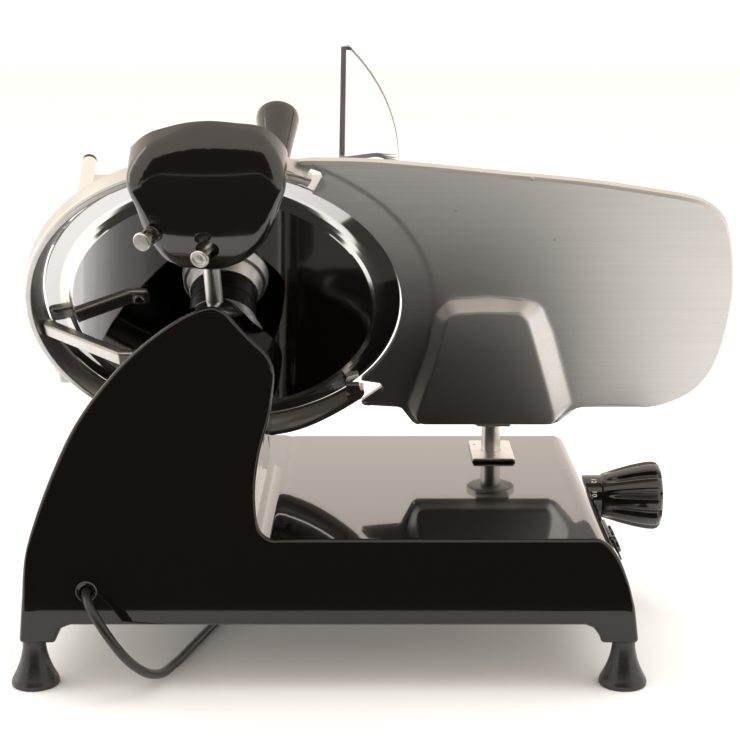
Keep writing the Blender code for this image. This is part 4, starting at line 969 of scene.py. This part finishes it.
ring_turns = [math.radians(RING_FROM + (RING_TO - RING_FROM) * i / RING_STEPS)
              for i in range(RING_STEPS + 1)]
upper_foot = [(17.8, 72.4), (13.9, 62.4), (0.6, 62.6), (0.1, 69)]
upper_top = [(11.6, 70.3), (9.4, 64.0), (1.06, 64.8), (1.8, 68.5)]
lower_end = [(0.03, -48.1), (0.07, -44.3), (3.75, -41.6), (7.5, -42.8), (9.9, -45.6),
             (6.3, -49.1)]
lower_lip = [(-9.8, -43.6), (-2.5, -40.5), (2.9, -42.5), (1.1, -45.8), (-4, -46.2)]
end_blocks = [end_block(upper_foot, upper_top, -0.2, 7.5),
              end_block(lower_end, lower_end, -0.2, 8.0),
              end_block(lower_lip, lower_lip, 4.6, 8.4, 0.5)]
ring = with_tools(sweep(ring_section, ring_turns, thinner_ends), end_blocks, "UNION")
make_piece("guard_ring_casting", ring, cast_satin, "base", BLADE, "guard_ring", sharp=35)

# %% [markdown]
# An arm with a bend in it ties the ring to the upright, and a screw holds the arm. Its outline
# is drawn from the front, so that its outer end can follow the ring's sloping wall. A block
# below the blade holds the ring a second time.

# %% Arm, its screw and the lower bracket
ARM_HALF = 6


def ring_wall(w):
    """How far from the axis the arm's edge meets the ring's sloping wall at a height."""
    r = RING_BORE + RING_LEAN * (w - RING_W0) / RING_HIGH
    return math.sqrt(r * r - (ARM_HALF - ARM_V) ** 2) - 0.5


arm_line = soften([(-ring_wall(4.5), 4.5), (-ring_wall(10.5), 10.5), (-125.5, 12.5),
                   (-72.0, 39.7), (-56.5, 39.7), (-56.5, 34.2), (-68.0, 34.2),
                   (-121.5, 6.2)], 2.5)
screw_bore = turned([(0, 60), (2.3, 60), (2.3, 20), (0, 20)], 0, 32)
ring_arm = with_tools(from_front(arm_line, -ARM_HALF, ARM_HALF, 2.0),
                      [moved(screw_bore, towards(Matrix(), (ARM_SCREW_U, 0, 0)))])
make_piece("ring_arm", ring_arm, cast_satin, "base", towards(BLADE, (0, ARM_V, 0)), "ring_strut")
arm_screw = turned([(0, 52), (2, 52), (2, 33.9), (4, 33.9), (4, 32.4), (3.2, 31.4), (0, 31.4)],
                   0.5, 48)
hex_socket = slab(arc(0, 0, 1.5, 0, 300, 5), 28, 33, 0)
make_piece("arm_screw", with_tools(arm_screw, [hex_socket]), bright_chrome, "base",
           towards(BLADE, (ARM_SCREW_U, ARM_V, 0)), "strut_screw")
make_piece("lower_bracket", bar((-14, -138, 14.3), (14, -129.5, 39.7), 1.6), cast_satin,
           "base", BLADE, "ring_bracket")

# %% [markdown]
# The cover hides the blade's flat side where the food slides past, and two tabs hold it to the
# ring. It is thin brushed sheet. The deflector behind the blade turns the slices down onto the
# deck.

# %% Cover and deflector
COVER_R, COVER_T, COVER_FACE = 112.0, 1.8, -0.5
cover = slab(arc(0, 0, COVER_R, 0, 357, 119), COVER_FACE - COVER_T, COVER_FACE, 0.4)
tabs = [moved(bar((COVER_R - 4, -9, -2.25), (136, 9, -0.55), 0.3),
              Matrix.Rotation(math.radians(degrees), 4, "Z")) for degrees in (150.0, 205.0)]
make_piece("flat_cover", with_tools(cover, tabs, "UNION"), brushed_sheet, "base", BLADE,
           "blade_cover")
deflector_line = soften([(-123, 9.0), (-125, 14), (-123, 39.7), (-62, 39.7), (-52, 34),
                         (-50, 28), (-58, 13), (-70, 9.0)], 4.0)
make_piece("deflector", from_side(deflector_line, 25.8, 28.8, 1.0), gloss_moulding, "base",
           BLADE, "slice_deflector")

# %% [markdown]
# ## The thickness gauge
#
# The wide brushed plate sets how thick the slices come out. It is a casting machined on its
# face: flat over most of its width, a little thinner beside the blade, with a raised hollow
# foot in the middle where its post joins. A narrow facet along its edge catches the light. All
# of that is one relief: the height comes from the distance to the foot's two outlines, and
# rows of points beside those outlines keep the bends crisp.

# %% The gauge's outline and heights
GAUGE_T, FOOT_W, GAUGE_BORE = 6.0, 16.0, 125.7
THIN_R, THIN_OVER, THIN_DROP = 151, 6, 0.6
FACET, BLADE_FACET, BLADE_FACET_R, FACET_SLOPE = 1.6, 0.35, 129, 1.2
gauge_corners = [(56.5, 134.5), (66.5, 135.4), (101, 134.5), (143.5, 130), (185.5, 124.4),
                 (252.5, 115.5), (293, 107.6), (311.5, 103.4), (322, 100), (330.5, 94.5),
                 (337, 88), (342, 80.4), (346.5, 68.3), (352.5, 43), (357, 13), (358, -18),
                 (356.5, -53), (352.4, -73.5), (347.9, -84.8), (340.8, -95.2), (330.5, -103.6),
                 (319.7, -109.3), (308.5, -111.8), (259.5, -112.0), (247, -128.4),
                 (241, -131.6), (139, -131.6), (135.8, -129.6), (126.4, -111.7),
                 (103, -109.6), (97.5, -109.4), (96.6, -105.6), (112.5, -88.5), (110.5, -85.0)]
outer_edge = smooth_line(gauge_corners[1:23], 3.0)
gauge_line = soften([gauge_corners[0]] + outer_edge + gauge_corners[23:], 2.5, bends=4) \
    + arc(0, 0, GAUGE_BORE, -39.6, 58.6, 74) + [(72.2, 121.5), (71, 125)]
foot_outline = soften([(138, -128.6), (243, -128.6), (256, -106), (247, -72), (235, -26),
                       (225, 1), (216, 7), (186, 11), (158, 8), (148, -6), (144, -44),
                       (129.5, -106)], 10, bends=8)
face_outline = soften([(139.5, -117), (240.5, -117), (239.5, -107), (231, -72), (219, -26),
                       (213, -3), (209, 3.8), (186, 4.6), (163, 3), (159, -1), (151.5, -44),
                       (140, -106)], 6, bends=8)


def eased(k, e=0.22):
    """A ramp from 0 to 1 whose two ends bend in softly."""
    c = 1 / (1 - e)
    return np.where(k < e, c * k * k / (2 * e),
                    np.where(k > 1 - e, 1 - c * (1 - k) ** 2 / (2 * e), c * (k - e / 2)))


def gauge_height(x, y, rim):
    """The plate's upper face: flat, thinner near the blade, raised at its foot."""
    p = np.stack([x, y], 1)
    from_foot = np.where(within(p, foot_outline), to_line(p, foot_outline), 0)
    from_face = np.where(within(p, face_outline), 0, to_line(p, face_outline))
    k = from_foot / np.maximum(from_foot + from_face, 1e-6)
    from_axis = np.hypot(x, y)
    level = GAUGE_T - THIN_DROP * eased(np.clip((THIN_R - from_axis) / THIN_OVER, 0, 1), 0.45)
    facet = np.where(from_axis < BLADE_FACET_R, BLADE_FACET, FACET)
    return level + (FOOT_W - level) * eased(k) - FACET_SLOPE * np.clip(facet - rim, 0, None)


def beside(line, distances, step=1.5):
    """Rows of points along a closed line and beside it, for the bends of a relief."""
    loop = []
    for a, b in zip(line, line[1:] + line[:1]):
        n = max(1, round(math.dist(a, b) / step))
        loop += [(a[0] + (b[0] - a[0]) * i / n, a[1] + (b[1] - a[1]) * i / n) for i in range(n)]
    loop = np.array(loop)
    side = leftwards(loop)
    rows = [loop + side * d for d in distances]
    return [row[to_line(row, loop) > abs(d) * 0.9] for row, d in zip(rows, distances)]


ROWS_BESIDE = (-2.4, -1.6, -0.8, 0, 0.8, 1.6, 2.4)
bends = beside(foot_outline, ROWS_BESIDE) + beside(face_outline, ROWS_BESIDE) \
    + [arc(0, 0, r, -60, 75, 210) for r in np.arange(144.4, 152, 0.8)]
print("gauge outline:", len(gauge_line), "points")

# %% [markdown]
# The plate's boss sits on a steel pillar that rises out of the deck, and a short link joins the
# two. Three small rivet heads stand on the plate's face.

# %% The gauge plate with its boss
POST_X, POST_Y = 94.0, 224.0
GAUGE_POST = towards(MACHINE, (POST_X, POST_Y, 0))
gauge = relief(gauge_line, 2.0, (0.1, 0.35, 0.8, 1.6, 3.0), gauge_height,
               lambda x, y, rim: rounding(rim, 0.8), bends)
make_piece("gauge_plate_casting", gauge, brushed_sheet, "gauge", BLADE, "gauge_plate", sharp=34)
boss_profile = [(0, 138), (17.3, 138), (18.5, 136.8), (18.5, 132), (17.5, 131), (0, 131)]
boss = with_tools(turned(boss_profile, 0.8), [bar((-13, -28, 133.5), (13, 0, 139), 1.2)],
                  "UNION")
make_piece("gauge_boss", boss, brushed_sheet, "gauge", GAUGE_POST)
pillar = turned([(0, 130.8), (7.5, 130.8), (7.5, 84.8), (0, 84.8)], 0.4)
make_piece("gauge_pillar", pillar, worn_steel, "gauge", GAUGE_POST, "gauge_post")
for k, (u, v) in enumerate(((209, 121), (160, 93), (228, 66))):
    rivet = turned([(0, 6.25), (1.1, 6.15), (1.3, 5.8), (1.3, 5.2), (0, 5.2)], 0.1, 32)
    make_piece("gauge_rivet_%d" % (k + 1), rivet, machined_steel, "gauge",
               towards(BLADE, (u, v, 0)))

# %% [markdown]
# A small plate slides with the post and keeps crumbs out of its slot. The photograph shows two
# layers: dull steel on top of a black runner, both with rounded corners.

# %% Slot cover
cover_line = [(-16, -29), (17, -29), (17, 29), (-16, 29)]
hole = arc(0, 0, 7.8, 0, 355, 71)
runner = slab(soften(cover_line, 3, bends=6), 106.0, 107.2, 0.4, [hole])
make_piece("slot_runner", runner, gloss_moulding, "gauge", GAUGE_POST, "slot_cover")
steel_top = slab(soften(inset(cover_line[::-1], 0.4), 2.6, bends=6), 107.2, 108.8, 0.6,
                 [hole, arc(-12, 16, 1.3, 0, 345, 23)])
make_piece("slot_top", steel_top, worn_steel, "gauge", GAUGE_POST)

# %% [markdown]
# ## The thickness knob
#
# The knob is a gloss black moulding that widens towards a domed end, with ten flutes for the
# fingers. A turned shape gets its flutes from a wave around the axis. Small printed numbers
# around its stem show the slice thickness.

# %% Knob
KNOB = towards(MACHINE, (0, KNOB_Y, KNOB_Z), (1, 0, 0))
FLUTES, FLUTE_DEPTH, FLUTE_FROM, FLUTE_TO = 10, 0.115, 178.5, 221
knob_profile = [(0, 224.0), (9, 223.7), (18, 222.8), (23.2, 221.4), (25.2, 219.6)] \
    + smooth_line([(26.0, 217.4), (26.0, 214), (24.6, 205), (21.6, 193), (18.6, 183),
                   (17.0, 177.6)], 1.5) + [(15.8, 176.4), (15.8, 158), (0, 158)]


def fluted(p):
    """The knob's rule: a wave around its axis, deeper towards its domed end."""
    if not FLUTE_FROM <= p.z <= FLUTE_TO or math.hypot(p.x, p.y) < 14:
        return p
    deep = FLUTE_DEPTH * min(1.0, (p.z - FLUTE_FROM) / 13)
    wave = max(0.0, math.cos(FLUTES * math.atan2(p.y, p.x)) + 0.2) / 1.2
    shrink = 1 - deep * wave * wave * (1.6 - 0.6 * wave)
    return (p.x * shrink, p.y * shrink, p.z)


make_piece("fluted_knob", turned(knob_profile, 0.7, 240, fluted), gloss_moulding, "knob", KNOB,
           "knob", sharp=50)

# %% [markdown]
# The numbers are text curves with a little thickness. Each one is turned into a mesh and bent
# round the stem, so that it lies on it like print.

# %% The numbers on the knob's stem
STEM_R, PRINT_LIFT, PRINT_THICK, PRINT_SIZE, PRINT_AT = 15.8, 0.06, 0.12, 5.2, 170.5


def printed(text, name):
    """A number's mesh, bent round the stem."""
    letters = bpy.data.curves.new(name, "FONT")
    letters.body = text
    letters.size = PRINT_SIZE * MM
    letters.extrude = PRINT_THICK * MM / 2
    letters.align_x, letters.align_y = "CENTER", "CENTER"
    me = settled(bpy.data.objects.new(name, letters))
    for v in me.vertices:
        a, r = v.co.x / (STEM_R * MM), v.co.z + STEM_R * MM
        v.co.x, v.co.z = r * math.sin(a), r * math.cos(a) - STEM_R * MM
    return me


for k in range(8):
    name = "thickness_mark_%d" % (2 * k)
    turn = Matrix.Rotation(math.radians(90 - 40 * k), 4, "Z")
    stand = KNOB @ turn @ towards(Matrix(), (STEM_R + PRINT_LIFT, 0, PRINT_AT)) @ YZ
    make_piece(name, printed(str(2 * k), name), white_print, "knob", stand)

# %% [markdown]
# ## The sharpener
#
# A moulded hood with a shield-shaped face rides on a steel post behind the blade. Its face is
# domed, its sides turn back in a wide round, and it is hollow, so its open back leaves room for
# the two stones. The face and the hollow are the two sides of one relief.

# %% Hood
HOOD_FOOT = (-16, 93.3)
HOOD_WALL, HOOD_ROUND, HOOD_DOME = 2.5, 9.5, 0.0022
hood_front = [HOOD_FOOT, (-26, 98.5), (-34, 110.5), (-39.3, 124), (-44, 141), (-48.4, 152),
              (-47.9, 158), (-43.8, 164.6), (-34.7, 172.8), (-23.9, 177.3), (-11, 181.1),
              (2.5, 182.6), (19.8, 181), (36.9, 177.4), (44.8, 170), (50.4, 158.5), (50.9, 150),
              (48, 142), (43.3, 128), (34, 110.5), (23, 99.5), (11, 93)]
round_line = smooth_line([hood_front[-1]] + hood_front + [HOOD_FOOT], 1.8)
first = round_line.index(min(round_line, key=lambda q: math.dist(q, HOOD_FOOT)))
round_line = round_line[first:]
hood_line = soften([q for i, q in enumerate(round_line)
                    if i == 0 or math.dist(q, round_line[i - 1]) > 0.2], 2)
side_line = smooth_line([(94, 65), (104, 66.2), (116, 66.6), (132, 64.8), (146, 60.6),
                         (158.5, 53.6), (169, 46), (177, 38.5), (182.8, 30)], 1.0)
side_v, side_w = np.array(side_line).T


def hood_face(x, y, rim):
    """The outside: its side view up the middle, domed across, with a round rim."""
    return np.interp(y, side_v, side_w) - HOOD_DOME * x * x - rounding(rim, HOOD_ROUND)


def hood_hollow(x, y, rim):
    """The inside: one wall below the face, and the back edge along the rim."""
    face = hood_face(x, y, rim)
    back = np.interp(y, [94, 112, 126, 150, 164], [57, 34, 15, 15, 20])
    return np.minimum(np.where(rim < 2.35, back, face - HOOD_WALL), face - 0.8)


hood = relief(hood_line, 1.7, (0.15, 0.5, 1.1, 1.8, 2.3, 2.5, 3.6, 5.2, 7.4, 10.0), hood_face,
              hood_hollow)
BUTTONS = (("sharpening", Vector((-3.0, 120.0, 78.0)), Vector((-0.31, 0.26, 0.915)), 18.5, 7.0),
           ("honing", Vector((-38.0, 132.0, 75.0)), Vector((-0.40, 0.328, 0.854)), 17.3, 5.8))
holes = [moved(turned([(0, 4), (r, 4), (r, -24), (0, -24)], 0, 64),
               towards(Matrix(), tip, d)) for _, tip, d, _, r in BUTTONS]
make_piece("sharpener_hood", with_tools(hood, holes), gloss_moulding, "sharpener", BLADE,
           "sharpener_cap", sharp=48)

# %% [markdown]
# Two sprung buttons press a coarse stone and a fine stone against the turning blade. Each is a
# dull steel pin with a flat head, one plain and one with a ring in it, and its stone turns on
# its inner end.

# %% Post, buttons and stones
post = turned([(0, 103.7), (5.6, 103.7), (5.6, 27), (4.8, 26), (0, 26)], 0.5)
make_piece("hood_post", post, worn_steel, "sharpener", towards(BLADE, HOOD_POST, (0, 1, 0)),
           "sharpener_post")
PLAIN_HEAD = [(0, 1.3), (5.3, 1.3)]
RINGED_HEAD = [(0, 1.0), (2.2, 1.0), (2.5, 0.5), (3.4, 0.5), (3.7, 1.0), (4.4, 1.0), (4.6, 1.4),
               (5.3, 1.4)]
for name, tip, d, wheel_w, _ in BUTTONS:
    d = d.normalized()
    reach = (tip.z - wheel_w) / d.z
    head = PLAIN_HEAD if name == "honing" else RINGED_HEAD
    button = turned(head + [(6.0, 0.6), (6.0, -1.2), (2.85, -1.8), (2.85, -reach - 3),
                            (0, -reach - 3)], 0.2, 80)
    make_piece(name + "_pin", button, worn_steel, name + "_button", towards(BLADE, tip, d),
               name + "_button")
    stone = turned([(9, 3), (9, -3), (3.15, -3), (3.15, 3)], 0.5, 80)
    make_piece(name + "_stone", stone, grit_stone, name + "_wheel",
               towards(BLADE, tip - d * reach, d), name + "_wheel")
collar = turned([(4.6, -8.8), (5.5, -9.6), (5.5, -11), (4.9, -11.6), (5.5, -12.4), (5.5, -18),
                 (3.15, -18), (3.15, -8.8)], 0.3, 64)
_, tip, d, _, _ = BUTTONS[1]
make_piece("knurled_collar", collar, gloss_moulding, "sharpener", towards(BLADE, tip, d),
           "button_collar")

# %% [markdown]
# ## The carriage
#
# The tray carries the food past the blade. It is brushed sheet with shallow ribs, so that the
# food doesn't stick, and stands on an arm that runs on a square rail. The relief gives the tray
# its ribs and its rolled rim.

# %% Tray
TRAY_V, TRAY_T = -93.0, 3
RIB_PITCH, RIB_FROM, RIB_HIGH, RIB_INSET = 14.0, 24.7, 0.7, 12
ROD_U, ROD_V = -119.9, -40.0
tray_line = soften([(-136.7, 14), (87.3, 14), (87.3, 235), (-136.7, 235)], 12, bends=10)


def tray_top(x, y, rim):
    """The tray's upper face: ribs that fade out before its rolled rim."""
    rib = np.clip(np.cos(2 * np.pi * (x + RIB_FROM) / RIB_PITCH) * 2.2 - 1.2, 0, 1)
    inner = np.clip((rim - RIB_INSET) / 4, 0, 1)
    return TRAY_V + RIB_HIGH * rib * inner - rounding(rim, 1.0)


tray = relief(tray_line, 2.0, (0.1, 0.4, 1.0, 3.0), tray_top,
              lambda x, y, rim: TRAY_V - TRAY_T + rounding(rim, 0.8))
stand = bar((-128.9, 4, -94.5), (-110.9, 14.3, -30), 2.0)
rod_bore = moved(turned([(0, 60), (5.9, 60), (5.9, -60), (0, -60)], 0, 64),
                 Matrix.Translation(Vector((ROD_U, 0, ROD_V)) * MM)
                 @ Matrix.Rotation(math.pi / 2, 4, "X"))
tray = with_tools(with_tools(tray, [stand], "UNION"), [rod_bore])
make_piece("ribbed_tray", tray, brushed_sheet, "carriage", SHELF, "tray", sharp=50)

# %% [markdown]
# The arm under the tray is a block on the rail, a wall up from it and a pad. Its top follows
# the tray's slope, so the heights of its corners are worked out from the plane of the tray.

# %% Rail arm and rail
RAIL_Y, RAIL_Z, ARM_X = 296.0, 72.0, -170.0
PAD_T = 6
under = TRAY_V - TRAY_T - 0.3


def under_tray(y, down=0):
    """The corner (y, z) at a depth y on the tray's lower side, or some way below it."""
    s = (y - CENTRE_Y + under * math.sin(LEAN)) / math.cos(LEAN)
    return (y, CENTRE_Z + under * math.cos(LEAN) + s * math.sin(LEAN) - down)


post_line = [(293, RAIL_Z), (307, RAIL_Z), under_tray(307), under_tray(293)]
pad_line = [under_tray(271, PAD_T), under_tray(329, PAD_T), under_tray(329), under_tray(271)]
rail_arm = bar((ARM_X - 20, 284, 59), (ARM_X + 20, 308, 85), 2.0)
rail_arm = with_tools(rail_arm, [from_side(post_line, ARM_X - 15, ARM_X + 15, 1.5),
                                 from_side(pad_line, ARM_X - 26, ARM_X + 26)], "UNION")
tunnel = bar((ARM_X - 60, RAIL_Y - 7.3, RAIL_Z - 7.3), (ARM_X + 60, RAIL_Y + 7.3, RAIL_Z + 7.3),
             0)
make_piece("rail_arm", with_tools(rail_arm, [tunnel]), cast_satin, "carriage", MACHINE,
           "carriage_arm")
rail = bar((-215, RAIL_Y - 7, RAIL_Z - 7), (156.7, RAIL_Y + 7, RAIL_Z + 7), 1.2)
make_piece("square_rail", rail, machined_steel, "base", MACHINE, "carriage_rail")

# %% [markdown]
# A clear guard keeps the hand away from the blade: an upright panel and a curved roof, cemented
# together. Faces and edges take the two acrylic finishes, sorted by which way each face looks.

# %% Hand guard
PANEL_U, SHEET_T, ROOF_R = 81.0, 4.0, 236
NEAR, FAR, GUARD_TOP = 95.0, 226.0, 50.0
panel_line = soften([(NEAR, TRAY_V + 0.3), (FAR, TRAY_V + 0.3), (FAR, GUARD_TOP - 4),
                     (FAR - 4, GUARD_TOP), (NEAR, GUARD_TOP)], 1.5)
panel = from_side(panel_line, PANEL_U, PANEL_U + SHEET_T, 0.25, bends=2)
near_edge = [(PANEL_U, NEAR), (88, 95.6), (100, 98.2), (109, 99.5), (113, 97.8), (116, 94.6),
             (120, 89)]
roof_line = smooth_line(near_edge, 1.5) \
    + arc(124.1 - ROOF_R, NEAR + 2, ROOF_R, -2.7, math.degrees(math.asin(127 / ROOF_R)), 48) \
    + [(PANEL_U, FAR - 4)]
roof = slab(roof_line, GUARD_TOP - SHEET_T, GUARD_TOP, 0.25, bends=2)
screen = make_piece("clear_guard", with_tools(panel, [roof], "UNION"), acrylic_face, "carriage",
                    SHELF, "hand_guard")
screen.data.materials.append(acrylic_edge)
for face in screen.data.polygons:
    n = face.normal
    face.material_index = 0 if max(abs(n.x), abs(n.z)) > 0.999 and face.area > 1e-5 else 1

# %% [markdown]
# The pusher holds the last piece of food against the blade. It swings up on a chromed rod: a
# toothed plate, a flat arm and a moulded handle, with a bush that slides on the rod.

# %% Rod, cap and bush
ROD_R, ROD_END = 5.6, 191.0


def along_shelf(u, v):
    """A frame on the shelf with its z axis along the rod, away from the blade."""
    return SHELF @ Matrix.Translation(Vector((u, 0, v)) * MM) \
        @ Matrix.Rotation(-math.pi / 2, 4, "X")


ROD = along_shelf(ROD_U, ROD_V)
rod = turned([(0, ROD_END - 9), (2.7, ROD_END - 9), (2.7, ROD_END), (ROD_R, ROD_END),
              (ROD_R, 14.3), (0, 14.3)], 0.5, 80)
make_piece("guide_rod", rod, bright_chrome, "carriage", ROD, "pusher_rod")
end_cap = turned([(0, ROD_END + 3.3), (ROD_R - 0.6, ROD_END + 3.3), (ROD_R, ROD_END + 2.4),
                  (ROD_R, ROD_END + 0.3), (2.4, ROD_END + 0.3), (2.4, ROD_END - 8.5),
                  (0, ROD_END - 8.5)], 0.4, 80)
make_piece("rod_end_cap", end_cap, gloss_moulding, "carriage", ROD, "rod_cap")
bush = turned([(5.9, 112), (12, 112), (12, 99.6), (9, 99.6), (9, 90), (5.9, 90)], 0.6, 80)
make_piece("sliding_bush", bush, gloss_moulding, "pusher_bush", ROD, "pusher_bush")

# %% [markdown]
# The arm's outline is two arcs, one round the rod and one round the handle. The teeth are small
# pyramids in staggered rows, all in one mesh, and the handle is turned like the knob.

# %% Arm, toothed plate and handle
HANDLE_U, HANDLE_V, HANDLE_FOOT = 34.3, 38.0, 99.6
TOOTH_U, TOOTH_V, TOOTH_HIGH = 15.5, 11.5, 2.4
lean = math.degrees(math.atan2(HANDLE_V - ROD_V, HANDLE_U - ROD_U))
swing_line = arc(ROD_U, ROD_V, 14, lean + 90, lean + 270, 36) \
    + arc(HANDLE_U, HANDLE_V, 11, lean - 90, lean + 90, 32)
swing_arm = slab(swing_line, -99.3, -93.3, 1.4, [arc(ROD_U, ROD_V, 9.3, 0, 354, 59)])
make_piece("swing_arm", swing_arm, cast_satin, "pusher", BLADE, "pusher_arm")
plate_line = soften([(-101.7, -90), (58.3, -90), (58.3, 51), (-60, 51), (-101.7, 10)], 5)
make_piece("pusher_sheet", slab(plate_line, -93, -90), cast_satin, "pusher", BLADE,
           "pusher_plate")
teeth = bmesh.new()
for row in range(11):
    for column in range(9):
        u = -82 + TOOTH_U * column + (7.7 if row % 2 else 0)
        v = -78 + TOOTH_V * row
        if v > 10 + (u + 101.7) * 0.9 or u > 52:
            continue
        tooth = bmesh.ops.create_cone(teeth, segments=4, radius1=1.8 * MM, radius2=0.2 * MM,
                                      depth=TOOTH_HIGH * MM, cap_ends=True)
        bmesh.ops.translate(teeth, verts=tooth["verts"], vec=Vector((u, v, -88.9)) * MM)
make_piece("pusher_teeth", new_mesh(teeth), cast_satin, "pusher", BLADE, sharp=20)
grip_side = smooth_line([(r, HANDLE_FOOT + high) for r, high in (
    (10.2, 2), (11.0, 11), (13.0, 28), (15.2, 43), (16.0, 50.5), (15.8, 53.4), (14.4, 55.4),
    (11.0, 56.2))], 1.2)
grip = turned([(0, HANDLE_FOOT), (10.0, HANDLE_FOOT)] + grip_side + [(0, HANDLE_FOOT + 56.8)],
              0.8, 120)
make_piece("pusher_grip", grip, gloss_moulding, "pusher", along_shelf(HANDLE_U, HANDLE_V),
           "pusher_handle", sharp=50)

# %% [markdown]
# ## The switch
#
# Two black buttons stand in a small plate on the sloping end wall, one to start the motor and
# one to stop it. Each has a domed cap with its usual sign, a bar and a ring.

# %% Switch plate and buttons
BUTTON_OUT, BUTTON_R = 12, 6.3
plate_outline = soften([(-9, -23), (9, -23), (9, 23), (-9, 23)], 3.5)
openings = [arc(0, y, BUTTON_R, 0, 354, 59) for y in (-BUTTON_OUT, BUTTON_OUT)]
make_piece("switch_surround", slab(plate_outline, 0.3, 2.1, 0.5, openings), gloss_moulding,
           "base", SWITCH, "switch_plate")
bar_sign = bar((-2.2, -0.35, 4.1), (2.2, 0.35, 4.5), 0.1)
ring_sign = turned([(2.3, 4.1), (2.3, 4.5), (1.7, 4.5), (1.7, 4.1)], 0.05, 48)
for node, y, sign in (("start_button", -BUTTON_OUT, bar_sign),
                      ("stop_button", BUTTON_OUT, ring_sign)):
    cap = turned([(0, 4.2), (3.5, 4.3), (5.0, 4.2), (6.0, 3.6), (6.0, -6.0), (7.5, -6.0),
                  (7.5, -7.5), (0, -7.5)], 0.4, 64)
    place = towards(SWITCH, (0, y, 0))
    make_piece(node + "_cap", cap, gloss_moulding, node, place, node)
    make_piece(node + "_sign", sign, white_print, node, place)

# %% [markdown]
# ## The studio
#
# The photograph has a white table and a white background, a broad soft light overhead, and a
# dark room behind the camera, which is what the black paint and the mirror show. So there is a
# pale floor, a warm white sky, and a large cool lamp above that reflections don't see. A weak
# lamp stands on the left. Two black cards, one behind the camera and one on the table in front,
# are seen by reflections alone.

# %% Floor and sky
world = bpy.data.worlds.new("white_sky")
world.use_nodes = True
sky = world.node_tree.nodes["Background"]
sky.inputs["Color"].default_value = (1.0, 0.89, 0.79, 1)
sky.inputs["Strength"].default_value = 1.28
bpy.context.scene.world = world
bpy.context.scene.view_settings.view_transform = "Standard"


def flat_stage(name, size, place, turn, colour, rough=0.9):
    """A flat rectangle that isn't part of the machine."""
    bm = bmesh.new()
    bmesh.ops.create_grid(bm, x_segments=1, y_segments=1, size=0.5)
    bmesh.ops.scale(bm, vec=(*size, 1), verts=bm.verts)
    me = bpy.data.meshes.new(name)
    bm.to_mesh(me)
    bm.free()
    me.materials.append(blank_finish(name + "_finish", "stage", colour, rough))
    o = bpy.data.objects.new(name, me)
    o.location, o.rotation_euler = place, turn
    bpy.context.scene.collection.objects.link(o)
    return o


flat_stage("table", (24, 24), (0, 0, 0), (0, 0, 0), (0.90, 0.92, 0.94), 0.85)
print("floor and sky set")

# %% [markdown]
# The cards take no part in the light on the table: they are hidden from the camera, from
# diffuse light, from shadows and from light that passes through the acrylic. The lamps are
# plain rectangles that point at a spot on the machine.

# %% Cards and lamps
for name, size, place, turn in (
        ("card_front", (2.6, 2.4), (0, -1.52, 0.004), (0, 0, 0)),
        ("card_back", (5.0, 2.4), (0, -3.0, 1.0), (math.pi / 2, 0, 0))):
    card = flat_stage(name, size, place, turn, (0.004, 0.004, 0.004))
    card.visible_camera = card.visible_diffuse = card.visible_shadow = False
    card.visible_transmission = False


def lamp(name, size, watts, place, target, colour):
    """A rectangular lamp at a place, pointed at a target."""
    light = bpy.data.lights.new(name, "AREA")
    light.shape = "RECTANGLE"
    light.size, light.size_y = size
    light.energy = watts
    light.color = colour
    o = bpy.data.objects.new(name, light)
    o.location = place
    o.rotation_euler = (Vector(target) - Vector(place)).to_track_quat("-Z", "Y").to_euler()
    bpy.context.scene.collection.objects.link(o)
    return o


overhead = lamp("overhead", (4.5, 3.0), 62, (0.1, 0.3, 2.4), (0, 0.1, 0.15), (0.92, 0.97, 1.0))
overhead.visible_glossy = False
lamp("left_window", (0.7, 1.6), 7, (-1.9, 0.3, 0.9), (0, 0, 0.2), (1, 0.985, 0.96))
print("studio set")
